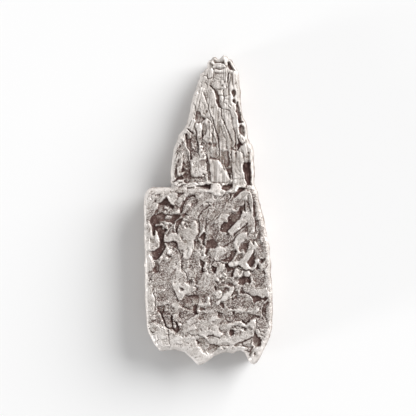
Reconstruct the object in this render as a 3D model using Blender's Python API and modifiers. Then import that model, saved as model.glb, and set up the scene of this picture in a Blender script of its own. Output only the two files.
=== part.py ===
"""Iron meteorite: one piece of metal lying on its flat back.

A thick slab with square corners, its face broken into flakes, ledges and pits, runs up into a narrow
spur of splinters. The piece is one solid. X is its width, Y runs from the foot of the slab to the tip
of the spur, and Z is its thickness, with the flat back at zero.
"""

import bpy
import numpy as np

# Driving dimensions, in metres
LENGTH = 0.0772
WIDTH = 0.03215
GRID = 0.00025  # one step of the drawing grid that the outlines below are read in
SLAB_THICKNESS = 0.0090
SPUR_THICKNESS_AT_ROOT = 0.0082
SPUR_THICKNESS_AT_TIP = 0.0060
EDGE_RADIUS = 0.0011  # worn round all along the outline
GRAIN = 0.00036  # spacing of the even mesh that the relief is worked into
BACK_HOLLOW_DEPTH = 0.0005
DENT_DEPTH = 0.00020  # unevenness of the sides
UNDERCUT = 0.0011  # the back is this much smaller than the face, all round
MILLIMETRE = 0.001

# Shape of the relief, in grid steps
SEAM = (16, 27)  # the slab falls away to the spur between these heights
TIP_HEIGHT = 155
BROKEN_EDGE = 1.1  # half width of the slopes between levels
RELIEF_SHARE = 0.44  # the heights drawn below are worked into the metal by this share
REACH_OF_UNDERCUT = 14  # how far in from the outline the sides are drawn in
BACK_LAND = ((0, -62), (34, 56))  # centre and half sides of the flat land of the back
RIM_WIDTH = 3.0  # the relief fades out over this distance from the outline
MOST_TRIANGLES = 9400
SEED = 7

METAL_COLOUR = (0.54, 0.50, 0.47, 1)
OXIDE_COLOUR = (0.085, 0.055, 0.048, 1)
OXIDE_DEPTH = -0.27  # mm: recesses deeper than this hold dark oxide


# The outline of the whole piece seen from above, in grid steps: x to the right, y up
OUTLINE = (
    "-37 23.5, -41 23, -56 22.7, -60.5 20.5, -62.5 16, -63.5 8, -64 -5, -63.8 -30, -63 -60, "
    "-62.5 -85, -62 -105, -61.3 -116, -59.5 -124, -56 -131, -51.5 -137.5, -47 -141, -40 -140.5, "
    "-33 -140.5, -24 -141.5, -20 -145, -15.5 -150.5, -11 -153.3, -7 -153.8, -3.5 -152.3, "
    "-0.5 -149.8, 5 -145, 11 -142.7, 18 -141.6, 25 -143, 29 -140.8, 33 -140.3, 37 -142, 40 -145.5, "
    "41.5 -150, 44 -153, 46.5 -153.6, 49 -152, 52 -147, 55.5 -140, 59.5 -133, 62.3 -127, 64 -118, "
    "64.6 -105, 64.4 -85, 63 -60, 61.5 -40, 59.5 -27, 56.5 -12, 53.5 0, 50.5 11, 50 17, 48.5 21, "
    "46.8 24, 46.8 30, 46.8 45, 46 55, 45 62, 42 67, 40.6 71, 40 76, 39 83, 37.5 88.5, 35.5 93, "
    "34.2 100, 33.2 110, 32.6 120, 32 128, 31 136, 28.8 141, 26 147, 23.5 150.5, 20.5 151, 20 153, "
    "18 153.8, 15.6 155, 13.5 153.5, 11.5 150.8, 9.5 151, 8 152.6, 6 153, 3.8 151.8, 2.5 150, "
    "0.3 149.3, -1 146.5, -1 142, -3 140.5, -6 137.5, -8.6 135, -8.6 131, -10.5 128.3, -11.2 124, "
    "-12.5 121, -14.5 117, -16.3 110, -17.8 104, -19 98, -20 92, -22 85.5, -24.8 80, -28 75.5, "
    "-30.5 70, -33 65, -35 59, -36.4 50, -37.3 40, -37.3 32, -38.2 27.5"
)


# Hollows of the face: a level in mm from the plain surface and an outline. Later ones lie on top
HOLLOWS = {
    "upper left hollow": (-1.3,
        "-49 6, -46.5 7.5, -44 11, -41.5 13, -39.2 11, -39.6 9, -36.5 6.5, -34.5 4, -34 0, -36 -2, "
        "-37 -4, -37 -9, -36 -13, -38 -15, -40 -18, -42 -22, -44.5 -26, -45.2 -29, -43 -32, -43 -36, "
        "-41.5 -38, -43 -41, -46 -43, -47 -45, -49 -47, -50.5 -52, -54.5 -52, -55.5 -49, "
        "-56.5 -46.5, -58 -45.5, -59.3 -43, -58 -41, -55 -40, -51 -39.5, -49.5 -37, -48 -34, "
        "-48.5 -30, -49 -25, -52 -20, -54 -22, -55.5 -26, -56 -20, -57 -16, -58.5 -13, -60 -11, "
        "-59 -9, -57 -6.5, -54 -3.5, -52 -0.5, -50.5 1.5, -49 2.5, -50 4.5"),
    "brown arc": (-1.1,
        "-28.6 -3, -28.8 1, -28 4, -26.5 6.5, -25 8, -23.5 10, -21.5 12.5, -19.5 14, -17 14.6, "
        "-14 15.2, -12 15.2, -11.5 13, -12.6 12, -14.5 12.4, -17 12.5, -19 11, -21 9, -23 7, "
        "-24.5 5, -25 3, -25.5 0, -26 -3"),
    "arc floor": (-0.55,
        "-20 8, -19 10.5, -16 11, -12 11, -10.5 8, -12 5, -16 4.5, -19.5 5"),
    "dim zone under the pit": (-0.7,
        "-54.5 -51, -53 -54, -51.5 -55, -53 -56.5, -56 -58.5, -56.5 -61, -54 -63, -51 -62.5, "
        "-49 -61, -48 -57, -49 -53, -50.5 -51"),
    "bird hollow": (-1.2,
        "-6 -23, -4 -21.5, -2 -24, -1.8 -28, -2.5 -30, -3 -33, -2.5 -35, -4 -36, -5.5 -34, -5.5 -31, "
        "-6.5 -29, -8.5 -27.5, -7 -25.5"),
    "middle hollow": (-1.0,
        "-0.5 -31, 2 -30, 5 -29, 9.5 -31, 11 -31.5, 9.5 -34, 11 -36.5, 8 -37, 5 -38, 2 -38, 1 -40, "
        "0.3 -42, 0.5 -45, -0.5 -46, -2 -43, -1 -38, -3.5 -36.5, -1 -34"),
    "river": (-0.75,
        "33 4, 34.5 3, 37 5, 38 2, 38 -1.5, 37 -1.5, 36.2 0.5, 35 -0.5, 34.3 -2.5, 33.3 -4, 33 -7, "
        "32 -9, 30 -10.5, 27 -13.5, 25.5 -15.5, 22 -18, 20.3 -20, 20 -22, 16 -22, 12.5 -19, "
        "12.5 -15, 14 -14.2, 16 -12.5, 20 -12.5, 21 -10, 20.8 -7.5, 22.5 -5.5, 24 -3, 24.6 -1, "
        "26 -1.5, 27.5 -2, 30 -1.3, 31.5 -1.5, 31 0.5, 32.5 1.5"),
    "slot over the corner plate": (-1.5,
        "22.5 16.3, 24 17, 26.5 16.7, 28.5 18.5, 30 20.5, 32 22, 34.5 23.2, 36.5 21.8, 38.5 21.8, "
        "41 20, 42.5 18.8, 41.5 18.3, 39.5 20, 37.5 20.8, 35.8 20.3, 34.5 18.5, 32.5 18, 30.5 16.5, "
        "29.5 14.5, 28 13.5, 26.5 14.5, 26 15.6"),
    "right channel": (-0.9,
        "45.6 14, 46.3 10, 47.5 7, 48 3, 48.8 1, 48.9 -3.8, 50 -6.5, 51.5 -10, 52.5 -14, 53.5 -17, "
        "53.4 -22, 54 -25.5, 53.3 -31, 55 -37, 54.5 -40, 52.5 -38, 51 -34, 50.2 -29, 49.5 -24, "
        "47.5 -23, 48 -18, 47.5 -13, 46.5 -8, 45.3 -4, 45.6 0, 45.3 6, 45 10"),
    "antler hollow": (-0.75,
        "30.8 -37.5, 32 -36, 34 -34.5, 36 -32.8, 38.5 -31.8, 40 -33.5, 40.8 -37, 39.5 -40.5, "
        "38 -42.3, 36.5 -41.5, 35.5 -39.5, 33 -40, 31.2 -39.5"),
    "lower antler hollow": (-0.45,
        "30.5 -44, 33 -43.5, 35.8 -44.5, 35.2 -46.5, 33 -49, 31.5 -50.5, 30 -49.5"),
    "hollow beside the antler": (-0.85,
        "46.5 -39.5, 47.2 -42, 48 -48, 48 -51, 47 -54, 45 -55.8, 44 -57, 41.5 -54.5, 39.8 -52, "
        "41 -49.5, 43.5 -46.5, 45 -43.5, 46 -41"),
    "hollow left of the antler": (-1.1,
        "20 -50, 21 -52, 19 -53.5, 17 -53, 17 -56, 18 -57.5, 19.5 -59, 19.5 -61, 21.5 -61.5, "
        "23.5 -59.8, 25 -60, 24 -63, 23.3 -66, 25.5 -66, 26.5 -62, 27.5 -60, 28.5 -58, 31 -57.3, "
        "34.8 -58, 33 -56, 30 -55.5, 28 -56.6, 22 -56.8, 20.8 -55, 23.5 -51, 25.5 -48.5, 26.5 -46, "
        "28.5 -42.5, 28.8 -40, 27.5 -42, 25.5 -40, 23 -41.5, 24 -43, 25 -45, 23.5 -47, 22 -49"),
    "deep pit": (-1.3,
        "29.5 -69.5, 31.5 -69, 33 -67.5, 35 -66.5, 37.5 -65.8, 39.5 -66.3, 42.5 -66, 43 -69, "
        "43.6 -72.5, 42 -73.5, 40.5 -72, 38.5 -71.5, 36.5 -73.8, 33 -74, 30.5 -73, 31.3 -71.5, "
        "30.5 -70.3"),
    "hollow of the hook": (-0.5,
        "-43.5 -31, -41.5 -32, -38 -31, -35.5 -30.3, -33 -31.2, -30.5 -32.8, -29.6 -36, -29.5 -39, "
        "-32 -38, -35 -36.5, -39 -36, -42 -35.5"),
    "narrow pit": (-1.3,
        "-7 -49, -5.5 -49.5, -3.5 -51, -3.3 -54, -5 -56, -5.6 -57.5, -5 -60, -4 -62, -6.5 -62, "
        "-7 -60, -6.8 -56, -8 -53.5, -7.5 -51.5"),
    "lower left channel": (-1.15,
        "-50.3 -96.5, -49 -95, -43 -94.5, -40.5 -93, -38.5 -94, -41 -96, -43.5 -98, -43.5 -101, "
        "-41.5 -103, -43 -105, -40 -107, -37 -106, -34.5 -105, -35.5 -109, -36 -113, -34.5 -117, "
        "-33.8 -119, -32 -118, -31.5 -114, -33 -112, -31 -111.5, -29.5 -114, -27 -115.5, -25.6 -117, "
        "-25.8 -119.5, -26.3 -121.5, -27.5 -123.8, -31 -123.7, -34 -121.5, -36.5 -118.5, -39 -118.3, "
        "-41 -117.3, -43.5 -115, -44.7 -111, -45.8 -108, -47.7 -105, -48.7 -102, -50.6 -100.5"),
    "dark shelf": (-0.62,
        "-28.7 -90, -26 -89, -23.5 -86.5, -21.5 -84.3, -15 -85, -10 -84.3, -8 -87.5, -8.5 -92, "
        "-10 -95, -10.3 -103.7, -13 -104.6, -17 -106.5, -20.5 -109, -23.5 -110.5, -27 -109.5, "
        "-30 -107, -30 -103, -24 -103, -17 -102.5, -14.5 -101, -15 -99.5, -19 -99, -24 -98.3, "
        "-26 -96.5, -28.7 -94"),
    "brown end of the shelf": (-1.2,
        "-15 -96, -12.5 -94, -10.3 -95, -10.3 -103.6, -13 -104.4, -15 -102, -13.8 -100"),
    "grey dip": (-0.3,
        "-6 -102.5, -3 -102.5, -3 -106, -5 -109, -7.5 -110, -9 -108.5, -8.5 -105"),
    "diagonal pit": (-0.75,
        "11.5 -92, 13.5 -90.8, 16 -92.5, 17.3 -96, 16.5 -97.5, 14 -96.5, 12 -94"),
    "long dark band": (-0.5,
        "16.5 -104, 20 -104, 24 -104, 28 -102, 33 -101.5, 40 -102, 48 -104, 53 -106, 48 -108, "
        "42 -108.5, 41 -111, 39 -112.7, 36 -112, 33 -110, 27 -109.7, 22 -110, 20 -111.7, 18.5 -109"),
    "box pit": (-0.55,
        "10 -101, 12 -100.8, 16 -103, 16.3 -106, 15 -107.2, 10.8 -107, 10 -104"),
    "round pit": (-1.4,
        "21 -120.3, 22.5 -119.3, 26 -119.3, 28 -120.5, 26.5 -122.5, 26 -124.5, 23 -124.8, 21 -123.3"),
    "step pit left": (-0.9,
        "23.8 -81, 26 -79.6, 29.5 -80.6, 30.5 -82.5, 30 -84, 26.5 -84.2, 22.3 -85.8, 23.6 -83.5"),
    "step pit right": (-0.95,
        "32 -82.6, 32.8 -79.5, 33.8 -76.3, 35.6 -76.5, 36 -79.5, 38 -81.5, 41 -82, 43.5 -84.3, "
        "45.5 -85.2, 48 -84.5, 50 -84.6, 53 -86, 55 -87.2, 57 -86.5, 58.5 -85.8, 61.5 -88.3, "
        "59 -89.7, 55 -89, 52 -90.5, 48 -91.5, 46.3 -93, 45.3 -90, 44.8 -87, 41 -84, 37 -82.7"),
    "rim slot": (-0.6,
        "57 -93.5, 60.5 -90.8, 62 -92, 61 -95.5, 59.6 -98, 59.2 -103, 60.5 -106.5, 61.2 -111, "
        "60.8 -115, 59.8 -112, 57.8 -106.5, 54.5 -104.5, 54.3 -100, 55.3 -97"),
    "wedge at the lower edge": (-0.9,
        "26 -136.8, 28 -134.3, 31 -132.3, 34 -130.8, 37 -129.3, 40 -127.8, 44 -126.3, 46 -125.3, "
        "45 -128, 44.3 -131, 42.5 -135, 42 -136.5, 38 -136, 33 -137, 29 -137.5"),
    "lower right pit": (-1.6,
        "45.5 -125.8, 47.5 -120.8, 48.5 -123, 50 -124.8, 53 -126.3, 54.8 -129, 55.6 -132, "
        "53.7 -135.6, 49.5 -135.6, 46.5 -134.8, 45.5 -130, 44.8 -128"),
    "zigzag": (-1.1,
        "44 -134.3, 46 -135.5, 45.5 -138, 44 -140.5, 43 -142, 42.4 -145.5, 41 -145, 42 -141.5, "
        "39.3 -141.3, 37.5 -140.5, 39.5 -138.8, 42 -136.3"),
    "dip of the bottom lobe": (-0.6,
        "-7.5 -133.5, -3 -134.3, 2 -133.3, 6 -132.8, 9.3 -134.3, 10.2 -137, 10.5 -140, 7 -141.3, "
        "4 -142.6, 1 -142.6, -1 -140, -4 -141.5, -6 -138"),
    "pits over the bottom lobe": (-0.45,
        "-12 -129, -9 -127, -6 -127, -3 -127.8, -0.7 -130.5, -3 -133, -7 -133, -9 -132, -10.8 -132.3"),
    "granular floor": (-0.3,
        "5 -23, 12 -22, 20 -22.5, 24 -26, 26 -29, 23 -32, 20 -35, 15 -37.5, 11.5 -35, 10.5 -31, "
        "5 -28.5, 2.5 -27"),
    "middle right floor": (-0.3,
        "40 -24, 47 -23.5, 50 -30, 50.5 -35, 48 -31, 45.5 -33, 43.5 -31, 41.5 -33, 40.5 -29"),
    "lower floor": (-0.2,
        "28 -84, 45 -88, 45 -98, 35 -99, 22 -98, 24 -90"),
    "head of the river": (-1.25,
        "33 4, 34.5 3, 37 5, 38 2, 38 -1.5, 37 -1.5, 36.2 0.5, 35 -0.5, 34.3 -2.5, 33 -3, 31 -1.5, "
        "31 0.5, 32.5 1.5"),
    "blotch by the arc": (-0.65,
        "-27 -3.4, -24.6 -2.6, -22.6 -3, -19.8 -3.8, -20.6 -6, -22 -8, -24 -8.4, -26 -7.6, -27.4 -6"),
    "brown patch": (-0.8,
        "-36.4 -4.6, -34 -3.9, -30 -4, -27.6 -4.6, -27.4 -6.4, -29.4 -7.6, -31.6 -9.2, -33.6 -11.6, "
        "-36 -12, -36.6 -9, -35.8 -6.6"),
    "second brown patch": (-0.8,
        "-31.6 -11, -28.6 -9.6, -26.4 -9.6, -26.6 -12.4, -28.4 -15, -30.4 -17.6, -33 -18.6, -32 -15"),
    "right granular floor": (-0.3,
        "43.5 -59.5, 46.5 -60.6, 50 -59.4, 53 -59, 57 -60, 58 -66, 57 -72, 53 -76, 47.5 -76.5, "
        "44.4 -73, 43.6 -68, 43.4 -64.6"),
    "brown dip by the rim": (-0.6,
        "51.6 -49.6, 54 -48.4, 57.6 -48.6, 58.2 -50.4, 55.6 -52.6, 53 -53, 51.4 -51.6"),
    "dip left of the diagonal ridge": (-0.55,
        "6.6 -75.6, 10 -76.4, 14 -77.4, 19 -76.4, 21.6 -77.6, 20.4 -80, 16.6 -82.2, 14.6 -80, "
        "12 -79, 9.6 -79.6, 7.4 -80.4"),
    "dip left of the Y": (-0.5,
        "-8.5 -84, -5 -83.5, -1.5 -85.5, -1 -89, -1.6 -91.6, -5 -92.6, -8.5 -92.5, -8 -88"),
    "floor under the ledges": (-0.55,
        "-53 -15.6, -50 -13.4, -44 -12.4, -40 -12.6, -37.6 -13.4, -37.4 -16, -40 -17.6, -44 -17.6, "
        "-46.4 -16.4"),
    "floor of the upper left": (-0.6,
        "-48 3.6, -45 1, -44 -1.6, -46 -3.6, -50 -3, -51.4 -1.4, -50 1"),
    "slot of the crown": (-1.5,
        "20.4 150.2, 22.8 149.8, 24 147.6, 24.8 144.6, 26.6 142, 28.3 140, 26 139.9, 23 140.8, "
        "21.6 142.6, 20.9 146"),
    "dip of the crown": (-0.6,
        "2 152, 5 153, 8 151.6, 12 150.4, 14 149.4, 16 150.5, 17.6 148, 16.3 147, 12 147.3, "
        "8.6 147.6, 6 149.4"),
    "left dip of the crown": (-0.5,
        "-1 147, 1 149, 3 148.6, 5.4 146, 4 143.6, 1.4 143, -1 142"),
    "dark wedge": (-0.95,
        "1.6 125.4, 4 124.4, 6 122.2, 8 120.8, 9 120, 10 116, 11.4 113, 11.6 109, 12 106, 13.4 103, "
        "12.6 101.4, 11 102, 10 104.6, 9 107, 8.3 110, 7.6 113, 6.8 117.6, 5.6 120.4, 3 123"),
    "hexagonal pit": (-1.2,
        "24 118.4, 25.6 120.6, 28 120.9, 29.7 118.4, 29 115.4, 26.6 112.6, 25.2 115"),
    "long gap": (-1.4,
        "28.6 104.6, 30.2 107.4, 31.8 108.6, 31.4 105, 33 103, 33 99, 34.8 97.6, 34 93.6, 35 90, "
        "37.2 88.6, 35 87, 31.8 87, 30.4 89.6, 30.4 94.6, 28.9 98.8, 29.4 102"),
    "oval pit": (-1.1,
        "31.6 82, 32.4 84.4, 34.6 85.2, 36.4 83.4, 37.2 79.6, 39.2 76.6, 37.6 73, 36.4 74.6, "
        "34 76.2, 31.8 78.6"),
    "V crack": (-1.2,
        "30.8 74, 32 71.6, 33 68.6, 34.8 66.2, 35.8 64.6, 33 64.2, 32 62, 31 59.6, 29.4 59.4, "
        "30 62.6, 29.2 64.4, 31.4 66, 31.2 70"),
    "window": (-1.5,
        "36.6 47.6, 40 47, 42 48.2, 45 47.4, 44.2 44.6, 45 36, 44.8 31, 44.6 28, 45.6 25.2, 44 24.4, "
        "41 24.8, 39.4 26.6, 37.6 30.6, 37 34.6, 36.8 36.8, 35.3 38.8, 35 43"),
    "post cavity": (-1.5,
        "-6 81, -4.4 82.8, -1.6 81.6, -2.4 78, -3.6 75.4, -5.8 73.4, -6.4 77"),
    "shade left of the block": (-0.6,
        "-6.8 85.6, -4 86.6, -1.4 84, -0.6 80, -1.6 76, -5 75"),
    "foot of the fan": (-0.55,
        "-15 91.6, -13.4 94.6, -12.4 98, -10 99.4, -7 97.6, -6.6 94, -3.6 92, -2 90.4, -4 89.4, "
        "-7 88, -10 87.4, -12.4 87.6, -13.4 89.6"),
    "hole under the chip": (-1.3,
        "-24.4 77, -21.6 76.6, -20.8 73.6, -20.6 71, -20.4 65, -19.4 61, -17.4 58.4, -16 54, "
        "-15.6 50.4, -17.4 50.6, -17.8 56, -19.4 59.4, -21.2 62.6, -22 66, -22.2 70.6, -23.4 74"),
    "mid left hollow": (-0.6,
        "-21 70.6, -17 72, -13 74.6, -10.8 73, -9.4 67, -8.6 61, -9.4 57, -12.4 54.6, -15 51, "
        "-16.6 56.6, -19.6 61"),
    "dark base hollow": (-1.1,
        "-30 34.2, -28 34, -25 35.4, -23 37.6, -19.6 43, -19.4 49, -17.6 46, -17 39, -16.2 33.6, "
        "-14.6 31.8, -8 31.6, -3.8 33.6, -4.4 36, -2 33.4, -1.4 29.4, -2.6 28.6, -5.6 30.6, "
        "-12 30.8, -17 30.6, -21 31.6, -24.6 31, -28.4 30.9, -31 31.6"),
    "left column": (-1.2,
        "-34.8 33.6, -35 38, -34 41.6, -31.6 42, -31 38.6, -31.6 36, -30.2 34.4, -31.8 32.6, -33.4 32"),
    "corner gap": (-1.6,
        "-38.4 27.8, -36.4 28.8, -34 30.6, -32.4 32.4, -30 33.9, -26.6 34.2, -24.6 33.2, -26 31.2, "
        "-29 30.6, -32 29.2, -34.4 27.8, -37 25.6"),
    "seam cavity": (-1.6,
        "-6.8 24.4, -4 25.2, 0 25.6, 3.6 25.4, 2.2 24, 2.4 22.6, 2 21, -1 21.8, -5 22.8, -9 23.4, "
        "-12.6 23.2, -12 23.9"),
    "bead cavity": (-1.4,
        "14 20.4, 14.8 23.6, 16.6 24.6, 19 24.2, 21 25.4, 24 25.4, 24.4 23, 23.4 21.4, 21 20.6, "
        "18.6 19.2, 17 20"),
    "V cavity": (-1.5,
        "19.4 41, 21.4 41, 23.8 42.4, 24.8 40, 24.4 36, 23 34.6, 23.4 31.4, 22.6 30.6, 21.6 33, "
        "20.4 36"),
    "shaded trough": (-0.45,
        "10.6 55, 11.6 60, 14 60, 16 58, 19 60, 21 59.6, 21.4 52, 22 46, 21 42, 18.4 42.6, 15 46, "
        "10 50.4, 9 52"),
    "hollow on the right": (-0.35,
        "37.6 56, 40 60, 43 60.6, 44.4 56, 44 51, 41 50, 39.4 53"),
}

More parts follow.
